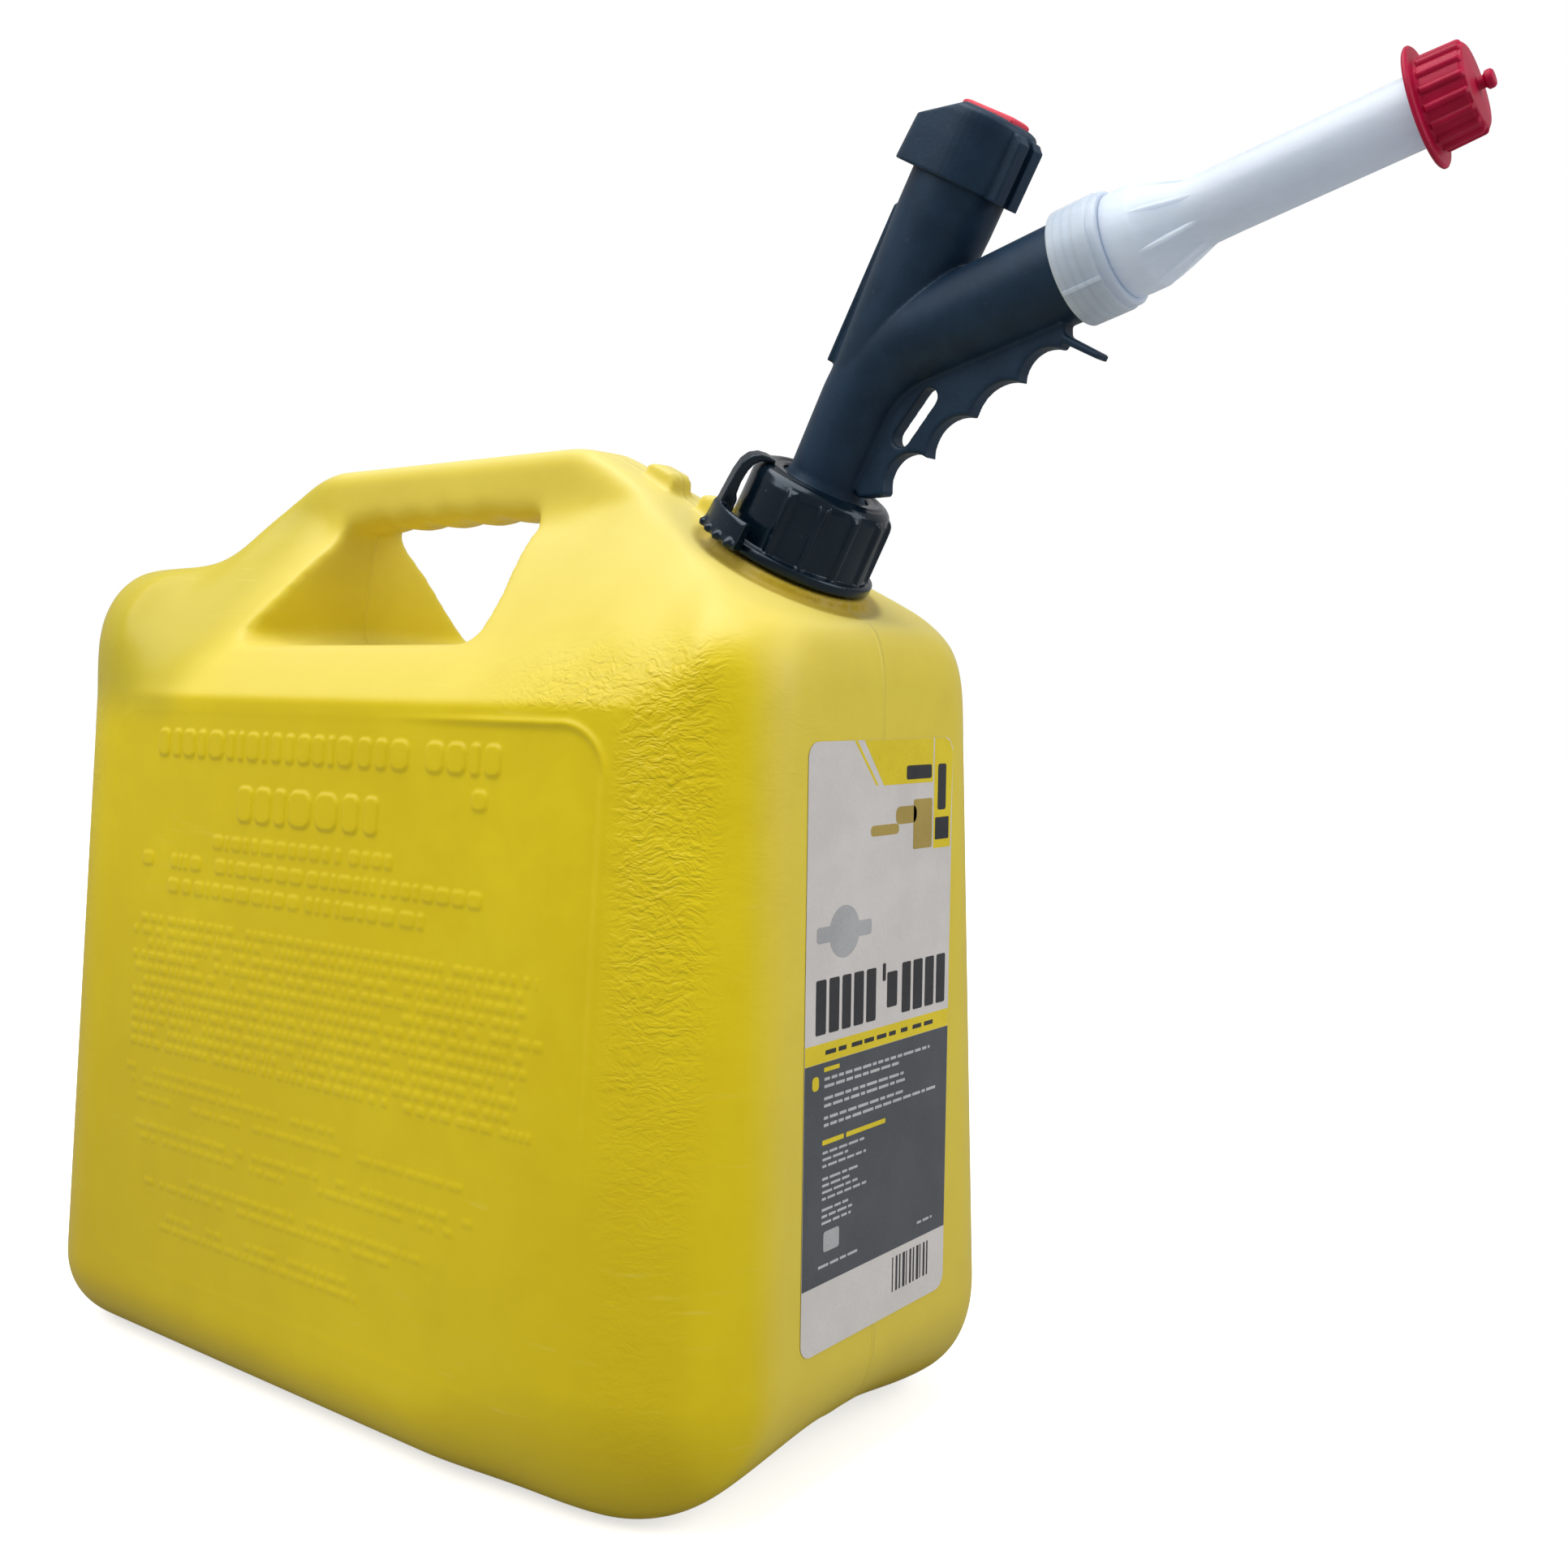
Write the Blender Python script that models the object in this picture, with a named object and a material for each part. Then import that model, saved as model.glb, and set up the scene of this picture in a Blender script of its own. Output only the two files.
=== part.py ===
"""Safety gas can: a blow-moulded tank with its handle moulded in, a screw collar and a
push-button spout.

Frame: +X is the pouring direction, +Z is up, the origin is on the floor under the middle of
the tank. Lengths are in millimetres and become metres as each mesh is made.
Pieces on the spout are drawn in two local frames whose Z runs along the neck axis or the
branch axis: there, "height" is the distance along that axis. Local X points forward and
down on the neck, and down on the branch. Local Y is the world's Y on the neck.
"""

import math

import bmesh
import bpy
from mathutils import Matrix, Vector

MM = 0.001
GAP = 0.3  # clearance between neighbouring pieces

# ---- tank ----
TANK_LENGTH = 364.0
TANK_WIDTH = 212.7
SIDE_LEAN = 0.071  # how far each side face moves inwards per unit of height
TANK_HEIGHT = 356.6
WALL = 2.6
HOLLOW_TOP = 338.0  # the handle above this level is solid
OPENING_FLOOR = 282.0
OPENING_CEILING = 331.0
OPENING_HALF_WIDTH = 140.0  # past both sides of the tank
GRIP_HALF_WIDTH = 15.0
ARCH_RADIUS = 60.0
ARCH_RISE = 3.0

# ---- label ----
LABEL_HALF_WIDTH = 43.4
LABEL_LOW = 52.6
LABEL_HIGH = 251.5
LABEL_CORNER = 5.0
LABEL_THICKNESS = 0.35

# ---- spout axes ----
NECK_TILT = math.radians(29.0)  # neck, collar and control tube lean forward
NECK_BASE = Vector((143.0, 0.0, 312.3))  # middle of the collar's lower rim
BRANCH_RISE = math.radians(15.2)  # nozzle above the horizontal
BRANCH_AT = 74.5  # height on the neck axis where the branch's axis leaves it

# ---- neck and collar, heights along the neck axis ----
SEAT_HEIGHT = -4.5
NECK_TOP = 22.0
NECK_RADIUS = 20.5
NECK_BORE = 17.8
NECK_PITCH = 4.0
NECK_THREAD_START = 7.0
LIP_BOTTOM = NECK_TOP + GAP  # the flame screen's lip rests over the neck
LIP_TOP = LIP_BOTTOM + 0.8
GASKET_BOTTOM = LIP_TOP + GAP
GASKET_TOP = GASKET_BOTTOM + 2.0
FLANGE_BOTTOM = GASKET_TOP + GAP
FLANGE_TOP = FLANGE_BOTTOM + 1.9
FLANGE_RADIUS = 22.3
COLLAR_LEDGE = FLANGE_TOP + GAP
COLLAR_TOP = 29.4
COLLAR_RADIUS = 25.3
COLLAR_BORE = 23.4
COLLAR_FLANGE_RADIUS = 28.9
LEVER_ANGLE = math.radians(250.0)

# ---- valve and thumb head, heights along the neck axis ----
ROD_RADIUS = 2.5
ROD_HOLE = ROD_RADIUS + GAP
CYLINDER_RADIUS = 12.2  # the wide upper part of the control tube's bore
CYLINDER_FLOOR = 96.0
HEAD_LOW = 133.4
HEAD_TOP = 157.4

# ---- nozzle, heights along the branch axis ----
SPIGOT_RADIUS = 14.0
SPIGOT_END = 82.6
NOZZLE_PITCH = 3.0
NOZZLE_THREAD_START = 74.2
NOZZLE_GASKET_BACK = SPIGOT_END + GAP
NOZZLE_GASKET_FRONT = NOZZLE_GASKET_BACK + 1.4
NOZZLE_BACK = NOZZLE_GASKET_FRONT + GAP
NOZZLE_END = 187.4
NOZZLE_TIP_RADIUS = 9.7
NUT_BACK = 72.0
NUT_FRONT = 88.4
NUT_BORE = 16.0
VENT_OFFSET = -5.2  # along the branch's local X, so above its axis
LINER_BACK = NOZZLE_END + GAP
LINER_FRONT = LINER_BACK + 1.3
CAP_BACK = 177.0
CAP_INNER_END = LINER_FRONT + GAP
CAP_BORE = 10.35


# ------------------------------------------------------------------ mesh helpers
def frame_at(origin, x, z):
    """A placement with local Z along z and local X along x, in millimetres."""
    z = Vector(z).normalized()
    x = Vector(x).normalized()
    frame = Matrix.Identity(4)
    for i, axis in enumerate((x, z.cross(x), z)):
        for j in range(3):
            frame[j][i] = axis[j]
    frame.translation = Vector(origin)
    return frame


def spun(where, angle):
    """The frame turned about its own Z."""
    return where @ Matrix.Rotation(angle, 4, "Z")


def mesh_object(name, points, faces, where=None):
    """A closed mesh from millimetre points, its faces turned outwards."""
    bm = bmesh.new()
    where = where or Matrix.Identity(4)
    made = [bm.verts.new((where @ Vector(point)) * MM) for point in points]
    for face in faces:
        bm.faces.new([made[i] for i in face])
    bmesh.ops.recalc_face_normals(bm, faces=bm.faces)
    bmesh.ops.triangulate(bm, faces=bm.faces)
    mesh = bpy.data.meshes.new(name)
    bm.to_mesh(mesh)
    bm.free()
    obj = bpy.data.objects.new(name, mesh)
    bpy.context.scene.collection.objects.link(obj)
    return obj


def loft(name, rings, where=None):
    """Rings of equally many points joined one to the next, the first and last closed."""
    size = len(rings[0])
    points = [point for ring in rings for point in ring]
    faces = []
    for k in range(len(rings) - 1):
        low, high = k * size, (k + 1) * size
        for i in range(size):
            j = (i + 1) % size
            faces.append((low + i, low + j, high + j, high + i))
    faces.append(tuple(range(size))[::-1])
    faces.append(tuple((len(rings) - 1) * size + i for i in range(size)))
    return mesh_object(name, points, faces, where)


def lathe(name, profile, where, steps, flutes=None):
    """A closed (radius, height) profile turned about local Z.

    flutes(angle, radius, height) may change the radius.
    """
    points, rows = [], []
    for radius, height in profile:
        if radius < 1e-6:
            rows.append([len(points)] * steps)
            points.append((0.0, 0.0, height))
            continue
        rows.append(range(len(points), len(points) + steps))
        for i in range(steps):
            angle = 2 * math.pi * i / steps
            reach = flutes(angle, radius, height) if flutes else radius
            points.append((reach * math.cos(angle), reach * math.sin(angle), height))
    faces = []
    for row, following in zip(rows, rows[1:] + rows[:1]):
        for i in range(steps):
            j = (i + 1) % steps
            # Points on the axis repeat, so each is kept once.
            corners = tuple(dict.fromkeys((row[i], row[j], following[j], following[i])))
            if len(corners) > 2:
                faces.append(corners)
    return mesh_object(name, points, faces, where)


def cylinder(name, radius, bottom, top, where, steps, inner=0.0):
    """A cylinder about local Z, or a plain ring where inner is given."""
    profile = [(inner, bottom), (radius, bottom), (radius, top), (inner, top)]
    return lathe(name, profile, where, steps)


def box(name, low, high, where):
    """A box between two opposite corners."""
    (x0, y0, z0), (x1, y1, z1) = low, high
    rings = [[(x0, y0, z), (x1, y0, z), (x1, y1, z), (x0, y1, z)] for z in (z0, z1)]
    return loft(name, rings, where)


def prism(name, outline, half_width, where=None):
    """An outline in local X and Z, extruded both ways along local Y."""
    return loft(name, [[(x, y, z) for x, z in outline] for y in (-half_width, half_width)], where)


def tube_along(name, path, radii, steps):
    """A round bar through the points of a path that lies in the XZ plane."""
    side = Vector((0.0, 1.0, 0.0))
    rings = []
    for k, (point, radius) in enumerate(zip(path, radii)):
        before = path[max(k - 1, 0)]
        after = path[min(k + 1, len(path) - 1)]
        up = (after - before).normalized().cross(side).normalized()
        ring = []
        for i in range(steps):
            angle = 2 * math.pi * i / steps
            ring.append(point + radius * (math.cos(angle) * up + math.sin(angle) * side))
        rings.append(ring)
    return loft(name, rings)


def thread(name, radius, pitch, turns, start, root_half, crest_half, depth, where):
    """A trapezium swept along a helix about local Z, its ends fading. depth > 0 points out."""
    per_turn = 14
    count = int(per_turn * turns)
    root = radius + (-0.5 if depth > 0 else 0.5)  # sunk into the wall that carries it
    rings = []
    for k in range(count + 1):
        angle = 2 * math.pi * k / per_turn
        middle = start + pitch * k / per_turn
        fade = min(1.0, (k + 0.6) / 4.0, (count - k + 0.6) / 4.0)
        crest = radius + depth * fade
        section = (
            (root, middle - root_half), (crest, middle - crest_half),
            (crest, middle + crest_half), (root, middle + root_half),
        )
        rings.append([(r * math.cos(angle), r * math.sin(angle), z) for r, z in section])
    return loft(name, rings, where)


def coil(name, mean_radius, wire_radius, bottom, top, turns, where, per_turn):
    """A coil spring about local Z, the last half turn at each end lying flat."""
    sides = 5
    total = int(per_turn * turns)
    flat = per_turn // 2
    low, high = bottom + wire_radius, top - wire_radius
    up = Vector((0, 0, 1))
    rings = []
    for k in range(total + 1):
        if k <= flat:
            height = low
        elif k >= total - flat:
            height = high
        else:
            height = low + (high - low) * (k - flat) / (total - 2 * flat)
        turn = 2 * math.pi * k / per_turn
        centre = Vector((mean_radius * math.cos(turn), mean_radius * math.sin(turn), height))
        radial = Vector((centre.x, centre.y, 0)).normalized()
        ring = []
        for i in range(sides):
            angle = 2 * math.pi * i / sides
            ring.append(centre + wire_radius * (math.cos(angle) * radial + math.sin(angle) * up))
        rings.append(ring)
    return loft(name, rings, where)


def is_closed(mesh):
    bm = bmesh.new()
    bm.from_mesh(mesh)
    closed = all(len(edge.link_faces) == 2 for edge in bm.edges)
    bm.free()
    return closed


def boolean(obj, other, operation):
    """Joins or cuts two meshes, then drops the second.

    Where the exact solver leaves an edge open at a near-touching pair of faces, the manifold
    solver does the work.
    """
    bpy.context.view_layer.update()
    mod = obj.modifiers.new("cut", "BOOLEAN")
    mod.operation = operation
    mod.object = other
    for solver in ("EXACT", "MANIFOLD"):
        mod.solver = solver
        graph = bpy.context.evaluated_depsgraph_get()
        graph.update()
        mesh = bpy.data.meshes.new_from_object(obj.evaluated_get(graph))
        if is_closed(mesh):
            break
    bm = bmesh.new()
    bm.from_mesh(mesh)
    bmesh.ops.triangulate(bm, faces=bm.faces)
    bm.to_mesh(mesh)
    bm.free()
    obj.modifiers.clear()
    old = obj.data
    obj.data = mesh
    bpy.data.meshes.remove(old)
    data = other.data
    bpy.data.objects.remove(other)
    bpy.data.meshes.remove(data)


def cut(obj, other):
    boolean(obj, other, "DIFFERENCE")


def join(obj, other):
    boolean(obj, other, "UNION")


def tidy(obj):
    """Merges faces that lie in one plane, where the result stays closed."""
    bm = bmesh.new()
    bm.from_mesh(obj.data)
    limit = math.radians(0.4)
    bmesh.ops.dissolve_limit(bm, angle_limit=limit, verts=bm.verts, edges=bm.edges)
    bmesh.ops.triangulate(bm, faces=bm.faces)
    mesh = obj.data.copy()
    bm.to_mesh(mesh)
    bm.free()
    if is_closed(mesh):
        old = obj.data
        obj.data = mesh
        bpy.data.meshes.remove(old)


def arc_points(start, end, sagitta, count):
    """Points from start to end, without start, on the arc that stands sagitta to the left."""
    (start_x, start_z), (end_x, end_z) = start, end
    dx, dz = end_x - start_x, end_z - start_z
    chord = math.hypot(dx, dz)
    left_x, left_z = -dz / chord, dx / chord
    radius = (chord * chord / 4 + sagitta * sagitta) / (2 * sagitta)
    centre_x = (start_x + end_x) / 2 - left_x * (radius - sagitta)
    centre_z = (start_z + end_z) / 2 - left_z * (radius - sagitta)
    first = math.atan2(start_z - centre_z, start_x - centre_x)
    last = math.atan2(end_z - centre_z, end_x - centre_x)
    if last > first:
        last -= 2 * math.pi
    points = []
    for k in range(1, count + 1):
        angle = first + (last - first) * k / count
        points.append((centre_x + radius * math.cos(angle), centre_z + radius * math.sin(angle)))
    return points


# ------------------------------------------------------------------ placing and materials
def in_metres(where):
    frame = where.copy()
    frame.translation = where.translation * MM
    return frame


def pivot(name, where):
    """An empty on an axis, the parent of the pieces along it."""
    empty = bpy.data.objects.new(name, None)
    bpy.context.scene.collection.objects.link(empty)
    empty.matrix_world = in_metres(where)
    empty.empty_display_size = 0.02
    bpy.context.view_layer.update()
    return empty


def paint(obj, mat):
    obj.data.materials.clear()
    obj.data.materials.append(mat)


def placed(obj, where, mat, parent):
    """Moves the object's origin to where, leaving the mesh in place, and parents it."""
    frame = in_metres(where)
    obj.data.transform(frame.inverted())
    paint(obj, mat)
    obj.parent = parent
    bpy.context.view_layer.update()
    obj.matrix_parent_inverse = parent.matrix_world.inverted()
    obj.matrix_world = frame


def on_neck_axis(obj, mat):
    placed(obj, NECK, mat, neck_pivot)


def on_branch_axis(obj, mat):
    placed(obj, BRANCH, mat, branch_pivot)


def material(name, colour, roughness, metallic=0.0, transmission=0.0):
    mat = bpy.data.materials.new(name)
    mat.use_nodes = True
    inputs = mat.node_tree.nodes["Principled BSDF"].inputs
    inputs["Base Color"].default_value = (*colour, 1.0)
    inputs["Roughness"].default_value = roughness
    inputs["Metallic"].default_value = metallic
    inputs["Transmission Weight"].default_value = transmission
    return mat


for old_object in list(bpy.data.objects):
    bpy.data.objects.remove(old_object)

YELLOW = material("tank_yellow", colour=(0.69, 0.52, 0.035), roughness=0.42)
WHITE = material("label_film", colour=(0.62, 0.58, 0.55), roughness=0.35)
BLACK = material("spout_black", colour=(0.013, 0.018, 0.026), roughness=0.45)
GLOSS_BLACK = material("collar_black", colour=(0.008, 0.011, 0.015), roughness=0.25)
RUBBER = material("seal_rubber", colour=(0.02, 0.02, 0.022), roughness=0.8)
STEEL = material("spring_steel", colour=(0.6, 0.6, 0.62), roughness=0.3, metallic=1.0)
CLEAR = material("nozzle_natural", colour=(0.68, 0.73, 0.82), roughness=0.35, transmission=0.3)
RED = material("cap_red", colour=(0.45, 0.01, 0.03), roughness=0.35)
NATURAL = material("acetal_white", colour=(0.75, 0.75, 0.72), roughness=0.4)

# ------------------------------------------------------------------ axes
NECK_AXIS = Vector((math.sin(NECK_TILT), 0.0, math.cos(NECK_TILT)))
NECK_FORWARD = Vector((math.cos(NECK_TILT), 0.0, -math.sin(NECK_TILT)))
NECK = frame_at(NECK_BASE, NECK_FORWARD, NECK_AXIS)
JUNCTION = NECK_BASE + BRANCH_AT * NECK_AXIS
BRANCH_AXIS = Vector((math.cos(BRANCH_RISE), 0.0, math.sin(BRANCH_RISE)))
BRANCH_DOWN = Vector((math.sin(BRANCH_RISE), 0.0, -math.cos(BRANCH_RISE)))
BRANCH = frame_at(JUNCTION, BRANCH_DOWN, BRANCH_AXIS)
VENT = BRANCH @ Matrix.Translation(Vector((VENT_OFFSET, 0, 0)))
LEVER = spun(NECK, LEVER_ANGLE)

# Each thread and its mate share a pitch and a section.
NECK_THREAD = dict(pitch=NECK_PITCH, root_half=1.1, crest_half=0.5, where=NECK)
NOZZLE_THREAD = dict(pitch=NOZZLE_PITCH, root_half=0.8, crest_half=0.35, where=BRANCH)

neck_pivot = pivot("neck_axis", NECK)
branch_pivot = pivot("branch_axis", BRANCH)

# ------------------------------------------------------------------ tank
# The tank is a loft along X. Above z = 262 each section follows a row of points from the side
# wall up to the centre line: a full block at the rear, a narrow ridge along the handle, a
# flaring shoulder in front. Columns: x, then (y, z) points.
SHOULDER = [
    (-182.0, [(41.7, 262), (41.6, 268), (41.4, 275), (41.0, 280), (40.4, 283.5), (39.2, 286),
        (37.0, 287.4), (34.0, 288), (26.0, 288), (13.0, 288), (0.0, 288)]),
    (-180.5, [(53.5, 262), (53.3, 268), (53.0, 275), (52.2, 282), (50.8, 287), (48.6, 290.6),
        (45.4, 292.8), (41.0, 294), (30.0, 294.4), (15.0, 294.4), (0.0, 294.4)]),
    (-176.0, [(64.4, 262), (64.2, 269), (63.8, 278), (62.6, 286.5), (60.2, 293.4), (56.6, 298.8),
        (51.8, 302), (45.0, 303.6), (30.0, 304), (15.0, 304), (0.0, 304)]),
    (-169.0, [(73.8, 262), (73.6, 270), (73.2, 280), (71.6, 289), (68.4, 297), (63.4, 304),
        (56.4, 309), (47.0, 311.4), (31.0, 312), (15.0, 312), (0.0, 312)]),
    (-160.0, [(81.0, 262), (80.8, 271), (80.2, 281), (78.2, 291), (74.2, 299.6), (68.2, 306.8),
        (59.6, 312.2), (48.0, 314.6), (32.0, 315), (15.0, 315), (0.0, 315)]),
    (-148.0, [(86.2, 262), (85.8, 272), (85.0, 282), (82.6, 292), (78.2, 301), (71.2, 308.4),
        (61.4, 313.4), (49.0, 315.2), (32.0, 315.5), (15.0, 315.5), (0.0, 315.5)]),
    (-136.0, [(87.7, 262), (87.2, 272), (86.2, 282), (83.4, 292), (78.4, 301), (70.8, 308.6),
        (60.0, 313.8), (47.0, 315.6), (31.0, 316), (15.0, 316), (0.0, 316)]),
    (-131.0, [(87.7, 262), (86.8, 272), (85.0, 282), (80.8, 292), (74.2, 301), (65.4, 308.8),
        (54.4, 314.4), (43.0, 317), (30.0, 318), (15.0, 318), (0.0, 318)]),
    (-124.0, [(87.7, 262), (85.6, 272), (81.6, 283), (74.4, 293.5), (64.8, 303), (54.0, 311),
        (44.6, 317.6), (37.8, 322), (31.0, 324.6), (16.0, 325.6), (0.0, 325.6)]),
    (-117.0, [(87.7, 262), (83.6, 272), (77.6, 283), (67.6, 295), (56.2, 306.4), (43.8, 317.6),
        (33.6, 327.6), (27.2, 334.4), (22.6, 337.6), (13.0, 339), (0.0, 339)]),
    (-106.0, [(87.7, 262), (80.2, 272.6), (71.4, 283), (57.2, 298), (43.4, 312), (29.8, 324.6),
        (21.4, 335), (17.4, 344.8), (14.6, 349.4), (9.0, 351.2), (0.0, 351.2)]),
    (-96.0, [(87.7, 262), (77.8, 273), (66.8, 283), (50.2, 300), (34.4, 316), (22.6, 328),
        (17.2, 337.6), (15.4, 349), (13.6, 353.4), (9.0, 355.2), (0.0, 355.2)]),
    (-88.0, [(87.7, 262), (76.4, 273), (64.8, 283), (47.4, 300), (30.6, 317), (17.6, 329),
        (15.4, 336), (15.0, 350.4), (13.2, 354.6), (9.0, 356.6), (0.0, 356.6)]),
    (46.0, [(87.7, 262), (76.2, 273), (64.6, 283), (47.2, 300), (30.4, 317), (17.6, 329),
        (15.4, 336), (15.0, 350.4), (13.2, 354.6), (9.0, 356.6), (0.0, 356.6)]),
    (56.0, [(87.7, 262), (76.2, 273), (64.8, 283), (47.8, 300), (31.2, 317), (18.6, 329),
        (16.2, 335), (15.4, 348.4), (13.6, 353.2), (9.0, 355.6), (0.0, 355.6)]),
    (62.0, [(87.7, 262), (76.3, 273), (65.2, 283), (48.8, 300), (32.4, 317), (19.8, 329),
        (17.0, 334), (15.8, 346.2), (13.8, 351), (9.0, 353), (0.0, 353)]),
    (85.5, [(87.7, 262), (77.6, 273), (68.0, 283), (52.4, 300), (37.0, 316), (25.6, 328),
        (21.0, 333.6), (18.2, 338), (15.0, 340), (9.0, 341), (0.0, 341)]),
    (112.0, [(87.6, 262), (80.0, 273), (71.2, 283), (58.0, 298), (46.6, 309), (37.4, 316.8),
        (33.0, 320.4), (29.6, 323), (24.0, 324.5), (12.0, 325), (0.0, 325)]),
    (125.0, [(86.0, 262), (80.4, 272), (72.8, 283), (60.4, 296), (50.6, 305), (43.6, 311.2),
        (40.2, 314.2), (37.0, 316.4), (30.0, 317.4), (15.0, 317.6), (0.0, 317.6)]),
    (141.0, [(83.2, 262), (79.4, 270.6), (73.4, 280), (64.4, 290), (55.8, 298.4), (48.8, 304),
        (45.4, 306.4), (42.0, 307.9), (34.0, 308.6), (15.0, 308.8), (0.0, 308.8)]),
    (160.0, [(75.0, 262), (74.4, 269), (73.0, 276), (70.2, 282), (65.4, 287.6), (59.6, 292.2),
        (54.6, 295), (48.6, 297), (36.0, 298.2), (16.0, 298.4), (0.0, 298.4)]),
    (170.0, [(67.4, 262), (67.0, 268), (66.2, 274), (64.4, 279), (60.6, 284), (54.2, 288.2),
        (49.0, 290.6), (44.0, 292.0), (32.0, 292.8), (15.0, 292.8), (0.0, 292.8)]),
    (177.0, [(59.0, 262), (58.6, 266.5), (57.6, 271), (55.6, 275.6), (52.2, 280), (47.6, 284),
        (43.6, 286), (39.0, 287.4), (29.0, 288.2), (14.0, 288.4), (0.0, 288.4)]),
    (180.6, [(51.4, 262), (51.2, 265), (50.6, 268), (49.6, 271), (47.8, 274), (45.0, 276.8),
        (42.4, 278.4), (38.6, 279.6), (29.0, 280.4), (14.0, 280.6), (0.0, 280.6)]),
    (182.0, [(44.0, 262), (43.9, 264), (43.5, 266), (42.7, 268), (41.2, 269.8), (39.2, 271),
        (37.0, 271.8), (33.6, 272.4), (25.0, 272.6), (12.0, 272.6), (0.0, 272.6)]),
]
EXTRA_STATIONS = [20.0, -20.0, 152.0]  # more sections, between the rows above
# Upright corners: how far the wall curves in at each end, along X and along Y.
FRONT_CORNER = (72.0, 45.0)
REAR_CORNER = (46.0, 46.0)
# The rounding under the body, along X and along Z: larger at the front than at the rear.
FRONT_UNDER = (50.0, 46.0)
REAR_UNDER = (28.0, 28.0)
UNDER_BLEND_START, UNDER_BLEND_LENGTH = 60.0, 60.0  # where along X the one becomes the other


def quarter(distance, reach, depth):
    """How far an elliptical corner has curved in at this distance from its end."""
    if distance >= reach:
        return 0.0
    part = 1.0 - max(distance, 0.0) / reach
    return depth * (1.0 - math.sqrt(max(1.0 - part * part, 0.0)))


def shoulder_at(x):
    if x <= SHOULDER[0][0]:
        return SHOULDER[0][1]
    for (x0, low), (x1, high) in zip(SHOULDER, SHOULDER[1:]):
        if x <= x1:
            part = (x - x0) / (x1 - x0)
            return [
                (y0 + (y1 - y0) * part, z0 + (z1 - z0) * part)
                for (y0, z0), (y1, z1) in zip(low, high)
            ]
    return SHOULDER[-1][1]


def side_wall(x, z):
    """Half width of the body below the shoulder, where the wall leans in as it rises."""
    full = TANK_WIDTH / 2 - SIDE_LEAN * z
    front_curve = quarter(TANK_LENGTH / 2 - x, *FRONT_CORNER)
    return full - front_curve - quarter(x + TANK_LENGTH / 2, *REAR_CORNER)


def tank_section(x, inset=0.0, steps=5, top=math.inf):
    """One cross section of the tank, moved in by inset, as a ring in Y and Z."""
    outer_x = x * (TANK_LENGTH / 2) / (TANK_LENGTH / 2 - inset)
    blend = min(max((outer_x - UNDER_BLEND_START) / UNDER_BLEND_LENGTH, 0.0), 1.0)
    growth = FRONT_UNDER[1] - REAR_UNDER[1]
    depth = REAR_UNDER[1] + growth * blend * blend * (3 - 2 * blend)
    front_lift = quarter(TANK_LENGTH / 2 - outer_x, *FRONT_UNDER)
    bottom = front_lift + quarter(outer_x + TANK_LENGTH / 2, *REAR_UNDER)
    rise = max(depth - bottom, 1.0)
    run = max(REAR_UNDER[0] * rise / depth, 1.0)
    wall_y = side_wall(outer_x, bottom + rise)
    half = [(0.0, bottom)]
    for k in range(steps + 1):
        angle = math.pi / 2 * k / steps
        y = wall_y - run + run * math.sin(angle)
        half.append((y, bottom + rise - rise * math.cos(angle)))
    half += shoulder_at(outer_x)
    crest = half[-1][1]
    ring = []
    for y, z in half:
        if inset:
            y = max(y - inset, 0.0)
            z = bottom + inset + (z - bottom) * (crest - bottom - 2 * inset) / (crest - bottom)
        ring.append((x, y, min(z, top)))
    return ring + [(x, -y, z) for x, y, z in ring[1:-1][::-1]]


def tank_stations(inset=0.0):
    reach = TANK_LENGTH / 2 - inset
    places = [x for x, _ in SHOULDER] + EXTRA_STATIONS
    return sorted({round(x * reach / (TANK_LENGTH / 2), 3) for x in places})


def hand_opening(name, grow):
    """The hand opening from the side: flat floor, steep rear wall, curved front wall, open top."""
    top = 372.0
    low = OPENING_FLOOR - grow

    def rear(z):
        return -90.0 + 10.0 * (z - 283.0) / 48.0 - grow

    # x before it grows, z
    front = [
        (45.0, low), (50.0, low + 2.0), (48.4, 290.0), (45.2, 300.0),
        (41.0, 309.0), (37.0, 319.0), (34.2, 331.0), (34.0, top),
    ]
    outline = [(rear(low) + 6, low)] + [(x + grow, z) for x, z in front]
    outline += [(rear(top), top), (rear(low + 6), low + 6)]
    return prism(name, outline, OPENING_HALF_WIDTH)


def grip_bar():
    """The handle's bar: a rounded section along X with finger hollows in its underside."""
    rear_x, front_x, count = -104.0, 60.0, 22
    hollows_rear, hollows_front, hollow_pitch, hollow_depth = -72.0, 14.0, 21.5, 2.2
    squareness = 0.55  # 1 would make the section an ellipse
    half_width = GRIP_HALF_WIDTH + 0.6
    top = TANK_HEIGHT + 1.4
    rings = []
    for k in range(count + 1):
        x = rear_x + (front_x - rear_x) * k / count
        wave = 0.0
        if hollows_rear < x < hollows_front:
            phase = math.pi * ((x - hollows_rear) % hollow_pitch) / hollow_pitch
            wave = hollow_depth * math.sin(phase) ** 2
        low = OPENING_CEILING + wave
        ring = []
        for i in range(12):
            angle = 2 * math.pi * i / 12
            across, up = (
                math.copysign(abs(part) ** squareness, part)
                for part in (math.cos(angle), math.sin(angle))
            )
            ring.append((x, half_width * across, (top + low) / 2 + (top - low) / 2 * up))
        rings.append(ring)
    return loft("grip", rings)


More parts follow.
